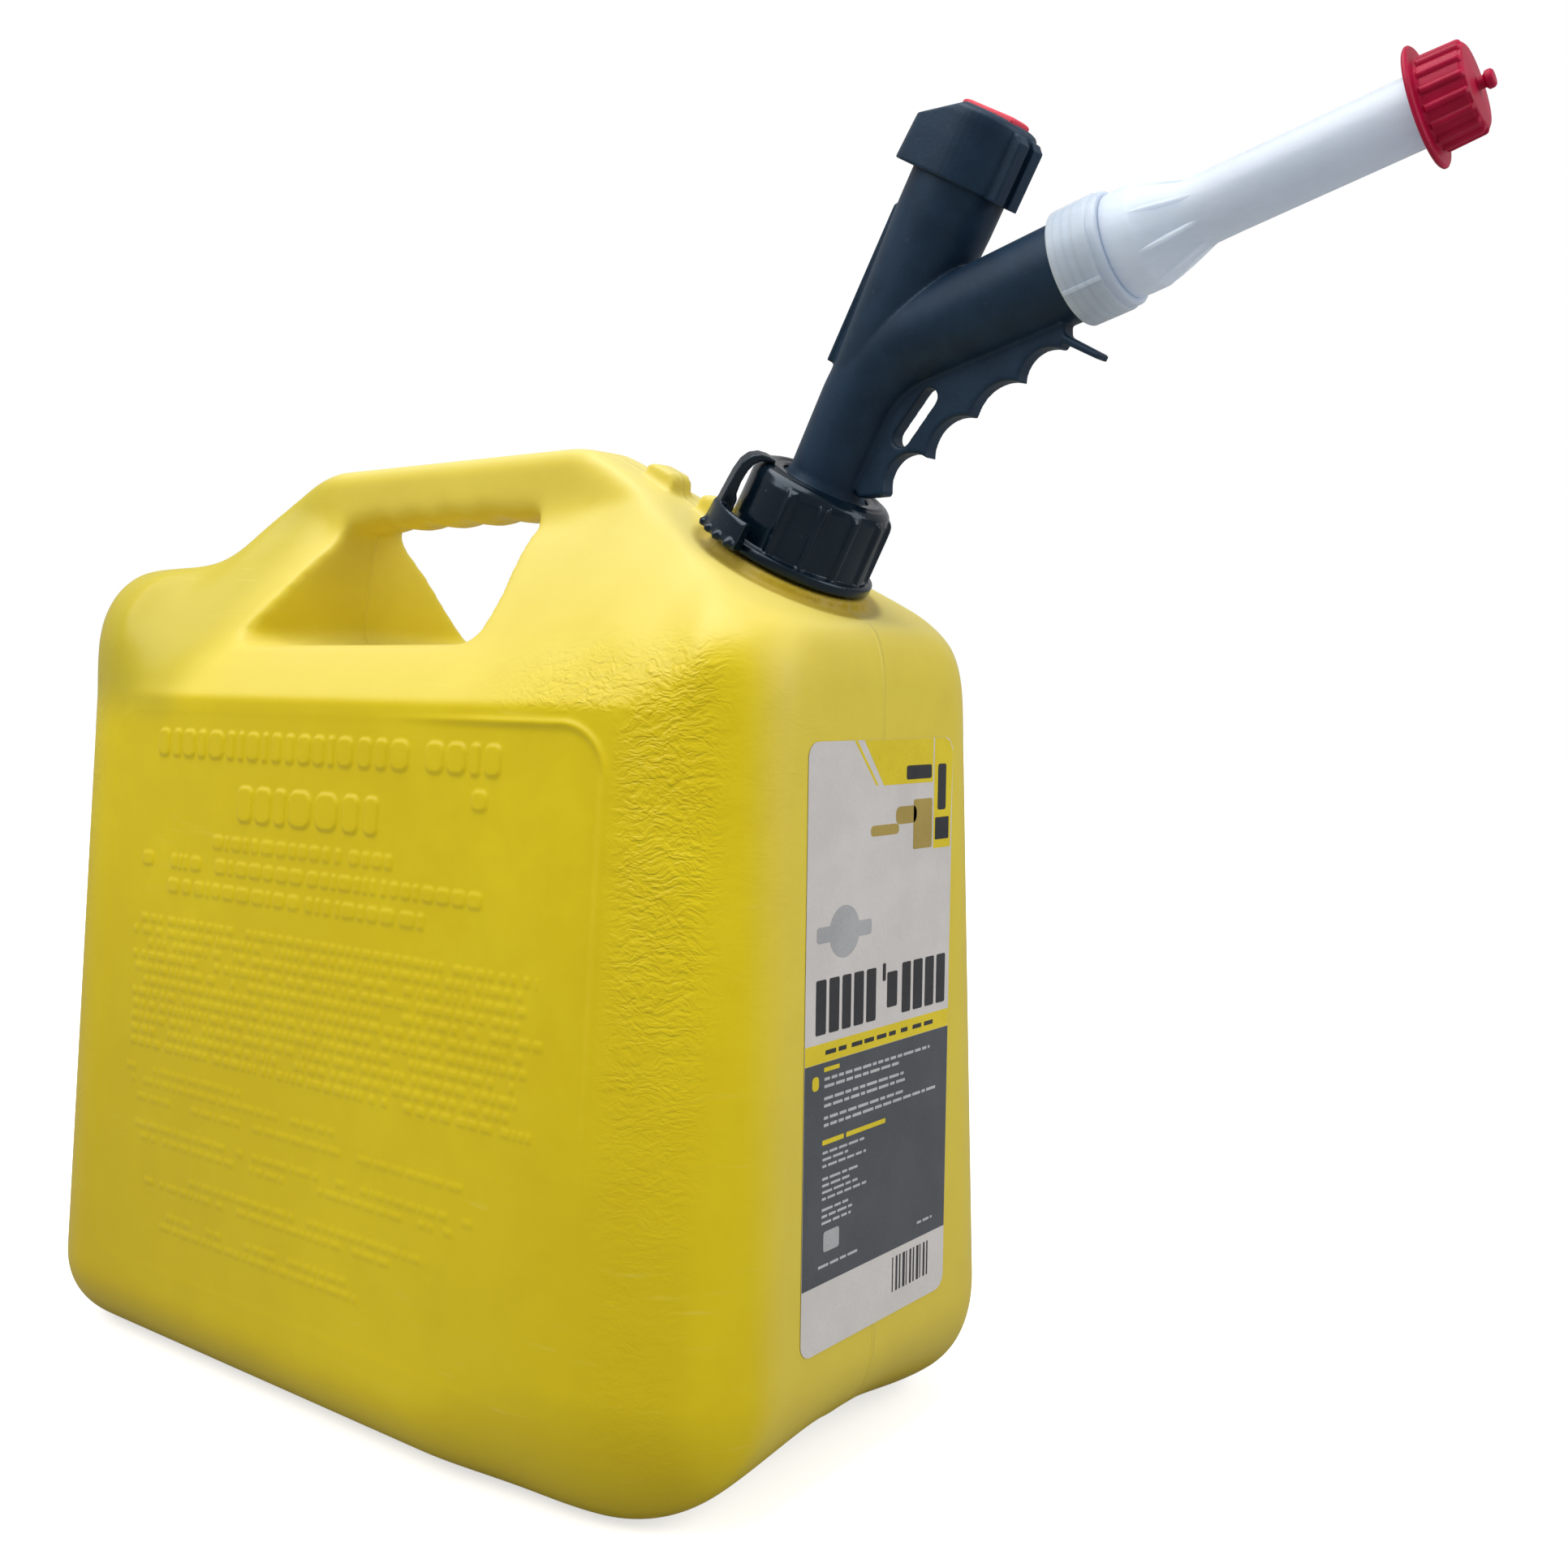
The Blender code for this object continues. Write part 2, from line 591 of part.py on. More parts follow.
def threaded_neck():
    profile = [
        (0.0, -16.0), (22.0, -16.0), (30.0, SEAT_HEIGHT - 1.0), (29.6, -1.4), (29.0, -1.0),
        (NECK_RADIUS + 0.4, -1.0), (NECK_RADIUS, 0.0), (NECK_RADIUS, NECK_TOP - 0.6),
        (NECK_RADIUS - 0.6, NECK_TOP), (0.0, NECK_TOP),
    ]
    neck = lathe("neck", profile, NECK, 36)
    join(neck, thread("neck_thread", NECK_RADIUS, turns=2.0, start=NECK_THREAD_START, depth=1.7,
                      **NECK_THREAD))
    return neck


def tank_hollow():
    """The tank's levels moved in by the wall, clear of the hand opening and the neck's seat."""
    sections = [tank_section(x, WALL, 3, HOLLOW_TOP) for x in tank_stations(WALL)]
    hollow = loft("hollow", sections)
    cut(hollow, hand_opening("opening_shadow", WALL))
    cut(hollow, cylinder("seat_shadow", 40.5, SEAT_HEIGHT - WALL, 40.0, NECK, 36))
    return hollow


def build_tank():
    tank = loft("tank_body", [tank_section(x) for x in tank_stations()])
    opening = hand_opening("opening_cutter", 0.0)
    cut(opening, grip_bar())
    cut(tank, opening)

    # The seat round the neck is cut square to it before the neck is added.
    seat = [(0.0, SEAT_HEIGHT), (35.0, SEAT_HEIGHT), (38.0, SEAT_HEIGHT + 3.0),
            (38.0, 30.0), (0.0, 30.0)]
    cut(tank, lathe("seat_cut", seat, NECK, 36))
    join(tank, threaded_neck())

    # Two lugs on the shoulder's centre line, behind the neck. Columns: x, z.
    rear_lug = [(79.5, 338.0), (91.0, 333.0), (92.6, 340.6), (90.4, 343.4), (82.6, 346.8),
                (79.4, 345.4)]
    front_lug = [(103.0, 326.0), (112.0, 318.5), (113.2, 329.0), (111.4, 331.6), (105.4, 334.8),
                 (102.6, 333.6)]
    join(tank, prism("lug_a", rear_lug, 4.5))
    join(tank, prism("lug_b", front_lug, 3.5))

    cut(tank, tank_hollow())
    cut(tank, cylinder("neck_bore", NECK_BORE, -19.0, 30.0, NECK, 36))
    # A shallow arch under each end of the base, on the centre line.
    for end in (-1, 1):
        origin = (end * 150.0, 0.0, ARCH_RISE - ARCH_RADIUS)
        where = frame_at(origin, (0, 1, 0), (end, 0, 0))
        cut(tank, cylinder("arch", ARCH_RADIUS, 0.0, 62.0, where, 96))
    paint(tank, YELLOW)


def build_label():
    """A thin film with rounded corners, just ahead of the flat front face."""
    outline = []
    for side, level, start in ((1, 1, 0), (-1, 1, 90), (-1, -1, 180), (1, -1, 270)):
        centre_y = side * (LABEL_HALF_WIDTH - LABEL_CORNER)
        centre_z = LABEL_HIGH - LABEL_CORNER if level > 0 else LABEL_LOW + LABEL_CORNER
        for k in range(7):
            angle = math.radians(start + 15 * k)
            y = centre_y + LABEL_CORNER * math.cos(angle)
            outline.append((y, centre_z + LABEL_CORNER * math.sin(angle)))
    back = TANK_LENGTH / 2 + GAP
    rings = [[(x, y, z) for y, z in outline] for x in (back, back + LABEL_THICKNESS)]
    paint(loft("front_label", rings), WHITE)


# ------------------------------------------------------------------ neck fittings
def build_flame_screen():
    """A cup hanging in the neck, with three slots cut right through it."""
    profile = [
        (20.0, LIP_BOTTOM), (20.0, LIP_TOP), (16.4, LIP_TOP), (16.4, -31.2),
        (0.0, -31.2), (0.0, -32.0), (17.2, -32.0), (17.2, LIP_BOTTOM),
    ]
    screen = lathe("flame_screen", profile, NECK, 24)
    for k in range(3):
        where = spun(NECK, math.pi * k / 3)
        cut(screen, box("slot", (-22.0, -2.2, -27.0), (22.0, 2.2, -11.0), where))
    on_neck_axis(screen, STEEL)


def build_neck_gasket():
    gasket = cylinder("neck_gasket", 21.9, GASKET_BOTTOM, GASKET_TOP, NECK, 28, inner=17.2)
    on_neck_axis(gasket, RUBBER)


def collar_rib(angle):
    """An axial rib, wide at its root, that fades into the collar at the top."""
    root = COLLAR_RADIUS - 1.2
    rings = []
    # height, how far the rib stands out
    for height, out in ((3.9, 1.4), (23.6, 1.3), (25.4, 0.7), (26.2, -0.5)):
        crest = COLLAR_RADIUS + out
        section = ((root, -1.7), (crest, -1.0), (crest, 1.0), (root, 1.7))
        rings.append([(x, y, height) for x, y in section])
    return loft("rib", rings, spun(NECK, angle))


def build_collar():
    """A thin lower flange, a ribbed wall and a rounded top with a raised lip."""
    flange, wall, bore = COLLAR_FLANGE_RADIUS, COLLAR_RADIUS, COLLAR_BORE
    profile = [
        (flange, 0.2), (flange, 3.2), (flange - 0.6, 3.8), (wall + 0.7, 4.0), (wall + 0.4, 4.6),
        (wall, 15.0), (wall - 0.2, 24.6), (wall - 1.0, 27.2), (wall - 2.6, 28.6),
        (wall - 4.0, 28.9), (wall - 4.6, COLLAR_TOP), (wall - 6.4, COLLAR_TOP),
        (wall - 7.0, 28.9), (16.2, 28.8), (15.4, 28.2), (15.4, COLLAR_LEDGE),
        (22.8, COLLAR_LEDGE), (bore, 27.4), (bore, 2.0), (24.4, 0.2),
    ]
    collar = lathe("collar_nut", profile, NECK, 36)
    for k in range(10):  # the gap in the ring of ribs is where the lever stands
        join(collar, collar_rib(math.radians(285.0 + 27.0 * k)))
    start = NECK_THREAD_START + NECK_PITCH / 2
    join(collar, thread("collar_thread", bore, turns=1.5, start=start, depth=-1.8, **NECK_THREAD))
    on_neck_axis(collar, GLOSS_BLACK)


def lever_foot():
    """The lever's foot, bent round the collar, with teeth along its lower edge."""
    steps = 12
    rings = []
    for k in range(steps + 1):
        angle = math.radians(-21.0 + 42.0 * k / steps)
        tooth = 1.5 if k % 3 == 1 else 0.0
        # radius, height
        section = (
            (29.6, 1.2), (34.2 + tooth, 0.8), (34.8 + tooth, 2.6), (34.2, 4.4),
            (33.6, 10.4), (32.6, 11.2), (30.4, 10.6), (29.9, 4.6),
        )
        rings.append([(r * math.cos(angle), r * math.sin(angle), z) for r, z in section])
    return loft("foot", rings, LEVER)


def build_lock_lever():
    """An arched strip from the collar's top rim out and down to a wide toothed foot."""
    # distance from the neck axis, height
    strip = [
        (20.6, 30.0), (20.6, 31.6), (22.4, 32.6), (25.6, 32.7), (28.6, 31.3), (30.6, 28.4),
        (32.0, 24.0), (32.8, 17.0), (33.4, 9.0), (31.0, 9.0), (30.4, 17.0), (29.4, 23.2),
        (28.2, 27.2), (26.6, 29.4), (24.6, 30.3), (22.6, 30.0),
    ]
    lever = prism("lock_lever", strip, 4.6, LEVER)
    join(lever, lever_foot())
    hinge = LEVER @ Matrix.Translation(Vector((21.4, 0.0, 31.0)))
    placed(lever, hinge, GLOSS_BLACK, neck_pivot)


# ------------------------------------------------------------------ spout moulding
# The finger grip's scalloped edge: tips in world (x, z), and the scallop depths between them.
GRIP_TIPS = [(182.3, 332.9), (198.5, 342.9), (214.2, 354.8), (231.5, 364.0), (245.3, 372.5)]
GRIP_SCALLOPS = [6.6, 5.0, 4.2, 4.4]
# The slot in the grip: centre of its lower end, a point it runs towards, length, half width.
GRIP_SLOT_START = (188.9, 350.4)
GRIP_SLOT_TOWARDS = (198.9, 362.1)
GRIP_SLOT_LENGTH = 15.4
GRIP_SLOT_HALF = 2.4


def passage_bar():
    """The solid round the pouring passage: up the neck axis, round a bend, out on the branch."""
    bend_radius, bend_steps = 40.0, 8
    turn = math.acos(NECK_AXIS.dot(BRANCH_AXIS))
    tangent = bend_radius * math.tan(turn / 2)
    bend_start = BRANCH_AT - tangent
    path = [NECK_BASE + height * NECK_AXIS for height in (27.0, 34.0, 44.0, bend_start)]
    centre = path[-1] + bend_radius * NECK_FORWARD
    for k in range(1, bend_steps):
        angle = turn * k / bend_steps
        back = bend_radius * math.cos(angle) * NECK_FORWARD
        path.append(centre - back + bend_radius * math.sin(angle) * NECK_AXIS)
    path += [JUNCTION + distance * BRANCH_AXIS for distance in (tangent, 40.0, 72.6)]
    count = len(path)
    radii = [13.6 + 1.9 * min(1.0, k / (count - 4)) for k in range(count)]
    return tube_along("spout_body", path, radii, 24)


def branch_spigot():
    """The branch's threaded end."""
    profile = [(0.0, 68.0), (SPIGOT_RADIUS, 68.0), (SPIGOT_RADIUS, 82.0),
               (SPIGOT_RADIUS - 0.5, SPIGOT_END), (0.0, SPIGOT_END)]
    spigot = lathe("spigot", profile, BRANCH, 32)
    join(spigot, thread("spigot_thread", SPIGOT_RADIUS, turns=2.0, start=NOZZLE_THREAD_START,
                        depth=1.2, **NOZZLE_THREAD))
    return spigot


def finger_grip():
    """A plate under the branch with a scalloped edge and a hook at its end."""
    edge = [(166.0, 343.0), (172.0, 331.8), (181.6, 332.0), GRIP_TIPS[0]]
    for start, end, depth in zip(GRIP_TIPS, GRIP_TIPS[1:], GRIP_SCALLOPS):
        edge += arc_points(start, end, depth, 6)
    edge += [
        (246.2, 374.2), (258.4, 367.8), (259.4, 369.6), (247.2, 376.6), (246.8, 384.0),
        (236.0, 388.0), (210.0, 381.0), (186.0, 366.0), (170.0, 352.0),
    ]
    return prism("grip", edge, 4.0)


def grip_slot():
    start_x, start_z = GRIP_SLOT_START
    towards_x, towards_z = GRIP_SLOT_TOWARDS
    along = Vector((towards_x - start_x, 0, towards_z - start_z)).normalized()
    outline = []
    for centre, first in ((0.0, 90), (GRIP_SLOT_LENGTH, -90)):  # the two round ends
        for k in range(9):
            angle = math.radians(first + 180.0 * k / 8)
            reach = centre + GRIP_SLOT_HALF * math.cos(angle)
            aside = GRIP_SLOT_HALF * math.sin(angle)
            x = start_x + reach * along.x + aside * along.z
            outline.append((x, start_z + reach * along.z - aside * along.x))
    return prism("slot", outline, 12.0)


def build_spout():
    spout = passage_bar()
    barrel = [(0.0, 60.0), (13.8, 60.0), (15.9, 122.0), (15.9, 136.0), (15.4, 136.6),
              (0.0, 136.6)]
    join(spout, lathe("barrel", barrel, NECK, 32))
    flange = [
        (0.0, FLANGE_BOTTOM), (FLANGE_RADIUS, FLANGE_BOTTOM), (FLANGE_RADIUS, 27.2),
        (FLANGE_RADIUS - 0.5, FLANGE_TOP), (14.6, FLANGE_TOP), (13.4, 32.0), (0.0, 32.0),
    ]
    join(spout, lathe("flange", flange, NECK, 30))
    join(spout, cylinder("inlet", 15.3, -7.0, 26.2, NECK, 32))
    join(spout, branch_spigot())
    join(spout, finger_grip())
    cut(spout, grip_slot())

    # A rib down the back of the control tube. The thumb head is notched for it.
    rib = [(-16.6, 88.0), (-16.6, 133.0), (-10.0, 133.0), (-10.0, 66.0), (-14.6, 70.0)]
    join(spout, prism("rib", rib, 3.6, NECK))

    # Passages inside: wide inlet, tube and upper cylinder, then the branch.
    inlet_bore = [
        (0.0, -12.0), (13.0, -12.0), (13.0, 23.0), (11.0, 25.0), (11.0, CYLINDER_FLOOR),
        (CYLINDER_RADIUS, CYLINDER_FLOOR), (CYLINDER_RADIUS, 150.0), (0.0, 150.0),
    ]
    cut(spout, lathe("inlet_bore", inlet_bore, NECK, 26))
    # The small turn keeps this bore's facets off those it meets.
    cut(spout, cylinder("branch_bore", 10.8, 0.0, 95.0, spun(BRANCH, 0.05), 24))
    on_neck_axis(spout, BLACK)


# ------------------------------------------------------------------ valve train
SEAL_CENTRE = (4.05, 100.5)  # radius, height
SEAL_WIRE = 1.15
# The turned pieces on the neck axis, from the tank up.
# Columns: name, steps, material, (radius, height) profile.
VALVE_PIECES = [
    ("valve_seat_ring", 24, NATURAL, [(8.6, -6.6), (12.7, -6.6), (12.7, -3.6), (9.6, -3.6)]),
    ("disc_seal", 24, RUBBER, [(8.8, -9.0), (11.2, -9.0), (11.0, -7.4), (9.0, -7.4)]),
    ("valve_disc", 24, NATURAL, [
        (ROD_HOLE, -13.0), (5.0, -13.0), (5.6, -11.6), (12.6, -11.2), (12.6, -9.3),
        (8.4, -9.3), (8.4, -8.0), (ROD_HOLE, -8.0)]),
    ("disc_retainer", 16, STEEL, [
        (ROD_HOLE, -16.2), (4.6, -16.2), (4.6, -13.3), (ROD_HOLE, -13.3)]),
    ("push_rod", 20, STEEL, [
        (0.0, -17.4), (ROD_RADIUS - 0.6, -17.4), (ROD_RADIUS, -16.8), (ROD_RADIUS, 143.4),
        (ROD_RADIUS - 0.6, 144.0), (0.0, 144.0)]),
    ("rod_guide", 24, NATURAL, [
        (ROD_HOLE, CYLINDER_FLOOR + GAP), (CYLINDER_RADIUS - GAP, CYLINDER_FLOOR + GAP),
        (CYLINDER_RADIUS - GAP, 101.4), (5.6, 101.4), (5.6, 99.0), (ROD_HOLE, 99.0)]),
    ("rod_seal", 20, RUBBER, [
        (SEAL_CENTRE[0] + SEAL_WIRE * math.cos(2 * math.pi * k / 8),
         SEAL_CENTRE[1] + SEAL_WIRE * math.sin(2 * math.pi * k / 8)) for k in range(8)]),
]


def build_valve():
    for name, steps, mat, profile in VALVE_PIECES:
        on_neck_axis(lathe(name, profile, NECK, steps), mat)
    spring = coil("return_spring", mean_radius=7.4, wire_radius=0.8, bottom=101.8, top=142.6,
                  turns=8.0, where=NECK, per_turn=11)
    on_neck_axis(spring, STEEL)


# ------------------------------------------------------------------ thumb head
def head_plan(half, back, corner):
    """Half circle at the front, straight sides, rounded rear corners, in local X and Y."""
    points = []
    for k in range(11):
        angle = math.radians(-90 + 180.0 * k / 10)
        points.append((half * math.cos(angle), half * math.sin(angle)))
    for side, start in ((1, 90), (-1, 180)):
        for k in range(6):
            angle = math.radians(start + 90.0 * k / 5)
            x = back + corner + corner * math.cos(angle)
            points.append((x, side * (half - corner) + corner * math.sin(angle)))
    return points


def build_thumb_head():
    """A capped sleeve over the control tube with a rear overhang."""
    # height, half width, rear edge, rear corner radius
    levels = [
        (HEAD_LOW, 17.4, -18.7, 10.0),
        (146.0, 17.2, -17.5, 9.6),
        (155.6, 16.9, -16.7, 9.4),
        (HEAD_TOP - 0.4, 16.4, -16.2, 9.0),
        (HEAD_TOP, 15.6, -15.6, 8.4),
    ]
    head = loft("thumb_head", [[(x, y, z) for x, y in head_plan(*plan)] for z, *plan in levels],
                NECK)
    for y in (-3.3, 3.3):  # two rails down the front
        join(head, box("rail", (14.0, y - 0.9, HEAD_LOW), (19.3, y + 0.9, 153.0), NECK))

    rear_slope = [(-40.0, 143.0), (-17.0, 150.6), (-11.0, 155.2), (-8.6, HEAD_TOP),
                  (-8.6, 170.0), (-40.0, 170.0)]
    cut(head, prism("rear_slope", rear_slope, 30.0, NECK))
    front_chamfer = [(11.5, HEAD_TOP + 0.5), (19.4, 150.8), (30.0, 150.8), (30.0, 170.0),
                     (11.5, 170.0)]
    cut(head, prism("front_chamfer", front_chamfer, 30.0, NECK))
    cut(head, cylinder("head_bore", 16.4, 120.0, 149.4, NECK, 32))
    rib_notch = [(-17.1, 120.0), (-17.1, 147.0), (-10.0, 149.4), (-10.0, 120.0)]
    cut(head, prism("rib_notch", rib_notch, 4.1, NECK))

    # A well for the button hangs inside the sleeve, with a socket for the rod below it.
    well = box("well", (-8.2, -5.4, 144.0), (8.2, 5.4, 154.0), NECK)
    join(well, cylinder("socket", 4.6, 138.6, 146.0, NECK, 24))
    join(head, well)
    cut(head, box("well_hollow", (-7.0, -4.2, 146.2), (7.0, 4.2, 165.0), NECK))
    cut(head, box("plate_pocket", (-9.0, -5.9, 154.3), (12.8, 5.9, 165.0), NECK))
    cut(head, cylinder("rod_hole", ROD_HOLE, 130.0, 144.4, NECK, 20))
    on_neck_axis(head, BLACK)


def build_button():
    """A plate with a chamfered top, its stem, and the spring under the stem."""
    rear, front, half_width = -8.6, 12.4, 5.5
    rings = []
    for z, inset in ((157.2, 0.0), (158.6, 0.0), (159.2, 0.7)):
        x0, x1, y = rear + inset, front - inset, half_width - inset
        rings.append([(x0, -y, z), (x1, -y, z), (x1, y, z), (x0, y, z)])
    button = loft("safety_button", rings, NECK)
    join(button, box("stem", (-6.6, -3.8, 151.6), (6.6, 3.8, 157.6), NECK))
    on_neck_axis(button, RED)
    spring = coil("button_spring", mean_radius=3.2, wire_radius=0.4, bottom=146.6, top=151.2,
                  turns=3.5, where=NECK, per_turn=10)
    on_neck_axis(spring, STEEL)


# ------------------------------------------------------------------ nozzle
def build_nozzle_gasket():
    gasket = cylinder("nozzle_gasket", SPIGOT_RADIUS, NOZZLE_GASKET_BACK, NOZZLE_GASKET_FRONT,
                      BRANCH, 24, inner=11.3)
    on_branch_axis(gasket, RUBBER)


def build_nozzle():
    """A flanged tube that narrows to a long tip, with six webs where it narrows."""
    profile = [
        (0.0, NOZZLE_BACK), (15.5, NOZZLE_BACK), (15.5, 86.3), (14.5, 86.6), (14.5, 98.0),
        (13.6, 101.0), (11.4, 107.0), (10.2, 110.6), (10.0, 113.0), (9.95, 120.0),
        (NOZZLE_TIP_RADIUS, NOZZLE_END - 0.6), (NOZZLE_TIP_RADIUS - 0.5, NOZZLE_END),
        (0.0, NOZZLE_END),
    ]
    nozzle = lathe("nozzle_tube", profile, BRANCH, 36)
    web = [(9.0, 98.6), (14.3, 98.2), (14.4, 99.6), (10.4, 110.8), (9.0, 110.8)]
    for k in range(6):
        join(nozzle, prism("web", web, 0.9, spun(BRANCH, math.radians(60.0 * k + 20.0))))
    bore = [
        (0.0, 78.0), (12.4, 78.0), (13.0, 86.6), (13.0, 96.6), (12.2, 100.2), (9.4, 107.4),
        (8.6, 111.0), (8.2, 200.0), (0.0, 200.0),
    ]
    cut(nozzle, lathe("nozzle_bore", bore, BRANCH, 36))
    on_branch_axis(nozzle, CLEAR)


def build_nut():
    """The ring nut that holds the nozzle's flange, with a small seam along one side."""
    profile = [
        (17.6, NUT_BACK), (18.0, NUT_BACK + 0.5), (18.0, NUT_FRONT - 3.4),
        (17.5, NUT_FRONT - 2.9), (17.5, NUT_FRONT - 0.7), (16.9, NUT_FRONT), (15.0, NUT_FRONT),
        (15.0, 86.8), (NUT_BORE, 86.7), (NUT_BORE, NUT_BACK),
    ]
    nut = lathe("nozzle_nut", profile, BRANCH, 32)
    start = NOZZLE_THREAD_START + NOZZLE_PITCH / 2
    join(nut, thread("nut_thread", NUT_BORE, turns=1.5, start=start, depth=-1.4,
                     **NOZZLE_THREAD))
    seam = [(17.6, NUT_BACK + 0.6), (18.7, NUT_BACK + 0.8), (18.7, NUT_FRONT - 3.6),
            (17.6, NUT_FRONT - 3.2)]
    join(nut, prism("seam", seam, 0.6, spun(BRANCH, math.radians(-38.0))))
    on_branch_axis(nut, CLEAR)


def build_vent():
    """A small tube along the top of the branch and nozzle, held by a ring in the branch."""
    on_branch_axis(cylinder("vent_tube", 2.3, 42.0, 182.0, VENT, 12, inner=1.5), NATURAL)

    back, front = 56.0, 62.0
    holder = cylinder("vent_holder", 10.7, back, front, BRANCH, 20, inner=9.4)
    join(holder, cylinder("ring", 4.0, back, front, VENT, 16))
    join(holder, box("strut", (-10.0, -0.9, back + 0.6), (-8.4, 0.9, front - 0.6), BRANCH))
    cut(holder, cylinder("hole", 2.6, 50.0, 70.0, VENT, 12))
    on_branch_axis(holder, NATURAL)


def cap_wall(angle, radius, height):
    """Flutes the cap's outer wall between the flange and the end."""
    if radius < 11.0 or not CAP_BACK + 2.4 < height < 190.2:
        return radius
    return radius + (0.45 if round(angle * 16 / math.pi) % 2 else -0.15)


def build_cap():
    """Flange, fluted body, end wall and a nib on the end, with a liner inside."""
    profile = [
        (CAP_BORE, CAP_BACK), (16.0, CAP_BACK), (16.6, CAP_BACK + 0.5), (16.6, CAP_BACK + 1.1),
        (16.0, CAP_BACK + 1.6), (12.8, CAP_BACK + 1.8), (12.4, CAP_BACK + 2.6), (12.0, 189.8),
        (11.4, 190.8), (2.0, 191.2), (1.7, 191.6), (1.7, 192.8), (2.5, 193.4), (2.5, 194.7),
        (2.0, 195.3), (0.0, 195.3), (0.0, CAP_INNER_END), (CAP_BORE, CAP_INNER_END),
    ]
    on_branch_axis(lathe("nozzle_cap", profile, BRANCH, 32, cap_wall), RED)
    on_branch_axis(cylinder("cap_liner", 9.9, LINER_BACK, LINER_FRONT, BRANCH, 24), RUBBER)


build_tank()
build_label()
build_flame_screen()
build_neck_gasket()
build_collar()
build_lock_lever()
build_spout()
build_valve()
build_thumb_head()
build_button()
build_nozzle_gasket()
build_nozzle()
build_nut()
build_vent()
build_cap()

for piece in bpy.context.scene.collection.objects:
    if piece.type == "MESH":
        tidy(piece)
        piece.data.shade_smooth()
        piece.data.set_sharp_from_angle(angle=math.radians(35.0))
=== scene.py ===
"""A safety fuel can: yellow tank, black collar, lever and spout, milky nozzle, red cap and button.

The can stands on Z = 0. +X is the pouring direction and the front, +Z is up.
The scene is in metres. Shapes are built from millimetres; materials and lights work in metres.
"""

import math

import bmesh
import bpy
import numpy as np
from mathutils import Matrix, Vector


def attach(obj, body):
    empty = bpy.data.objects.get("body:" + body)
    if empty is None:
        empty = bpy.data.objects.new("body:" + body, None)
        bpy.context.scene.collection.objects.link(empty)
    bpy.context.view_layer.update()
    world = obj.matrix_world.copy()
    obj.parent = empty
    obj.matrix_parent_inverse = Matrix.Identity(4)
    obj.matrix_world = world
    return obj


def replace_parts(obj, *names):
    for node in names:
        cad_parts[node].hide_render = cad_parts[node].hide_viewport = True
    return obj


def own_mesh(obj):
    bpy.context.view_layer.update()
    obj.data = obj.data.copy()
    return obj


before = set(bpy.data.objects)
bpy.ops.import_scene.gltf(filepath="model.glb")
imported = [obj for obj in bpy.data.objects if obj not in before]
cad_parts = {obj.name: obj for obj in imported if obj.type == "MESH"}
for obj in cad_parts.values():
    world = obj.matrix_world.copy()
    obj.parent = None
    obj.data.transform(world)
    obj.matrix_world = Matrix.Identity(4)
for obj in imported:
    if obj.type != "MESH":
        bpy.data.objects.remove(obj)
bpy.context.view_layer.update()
MM = 0.001
rng = np.random.default_rng(7)


# ------------------------------------------------------------------ frames and measurements
def frame_at(origin, x, z):
    """A frame at a point, from its X and Z directions."""
    z = Vector(z).normalized()
    x = Vector(x).normalized()
    frame = Matrix((x, z.cross(x), z)).transposed().to_4x4()
    frame.translation = Vector(origin)
    return frame


def turned(frame, degrees):
    return frame @ Matrix.Rotation(math.radians(degrees), 4, "Z")


def on_neck(height):
    return Vector(NECK_BASE) + height * NECK_AXIS


def on_branch(distance):
    return JUNCTION + distance * BRANCH_AXIS


# Tank. SIDE_LEAN is how far each side wall leans in per millimetre of height.
TANK_LENGTH, TANK_WIDTH, TANK_HEIGHT = 364.0, 212.7, 356.6
SIDE_LEAN = 0.071
SHOULDER_Z = 262.0

# The neck leans forward from the tank. The branch, which carries the nozzle, leaves it at JUNCTION.
NECK_BASE = (143.0, 0.0, 312.3)
NECK_TILT = math.radians(29.0)
BRANCH_RISE = math.radians(15.2)
JUNCTION_HEIGHT = 74.5
NECK_AXIS = Vector((math.sin(NECK_TILT), 0.0, math.cos(NECK_TILT)))
NECK_FRONT = Vector((math.cos(NECK_TILT), 0.0, -math.sin(NECK_TILT)))
NECK = frame_at(NECK_BASE, NECK_FRONT, NECK_AXIS)
JUNCTION = on_neck(JUNCTION_HEIGHT)
BRANCH_AXIS = Vector((math.cos(BRANCH_RISE), 0.0, math.sin(BRANCH_RISE)))
BRANCH_SIDE = Vector((math.sin(BRANCH_RISE), 0.0, -math.cos(BRANCH_RISE)))
BRANCH = frame_at(JUNCTION, BRANCH_SIDE, BRANCH_AXIS)

# Radii of the threaded walls, and the two thread forms.
NECK_R, COLLAR_BORE, SPIGOT_R, NUT_BORE = 20.5, 23.4, 14.0, 16.0
NECK_THREAD = dict(pitch=4.0, root_half=1.1, crest_half=0.5)
NOZZLE_THREAD = dict(pitch=3.0, root_half=0.8, crest_half=0.35)

COLLAR_R, FLANGE_R = 25.3, 28.9

# Distances along the branch.
NUT_BACK, NUT_FRONT = 72.0, 88.4
NOZZLE_END, NOZZLE_TIP_R = 187.4, 9.7
CAP_BACK = 177.0

HEAD_LOW, HEAD_TOP = 132.2, 155.4  # heights on the neck axis


# ------------------------------------------------------------------ shape helpers
def add_object(name, mesh):
    obj = bpy.data.objects.new(name, mesh)
    bpy.context.scene.collection.objects.link(obj)
    return obj


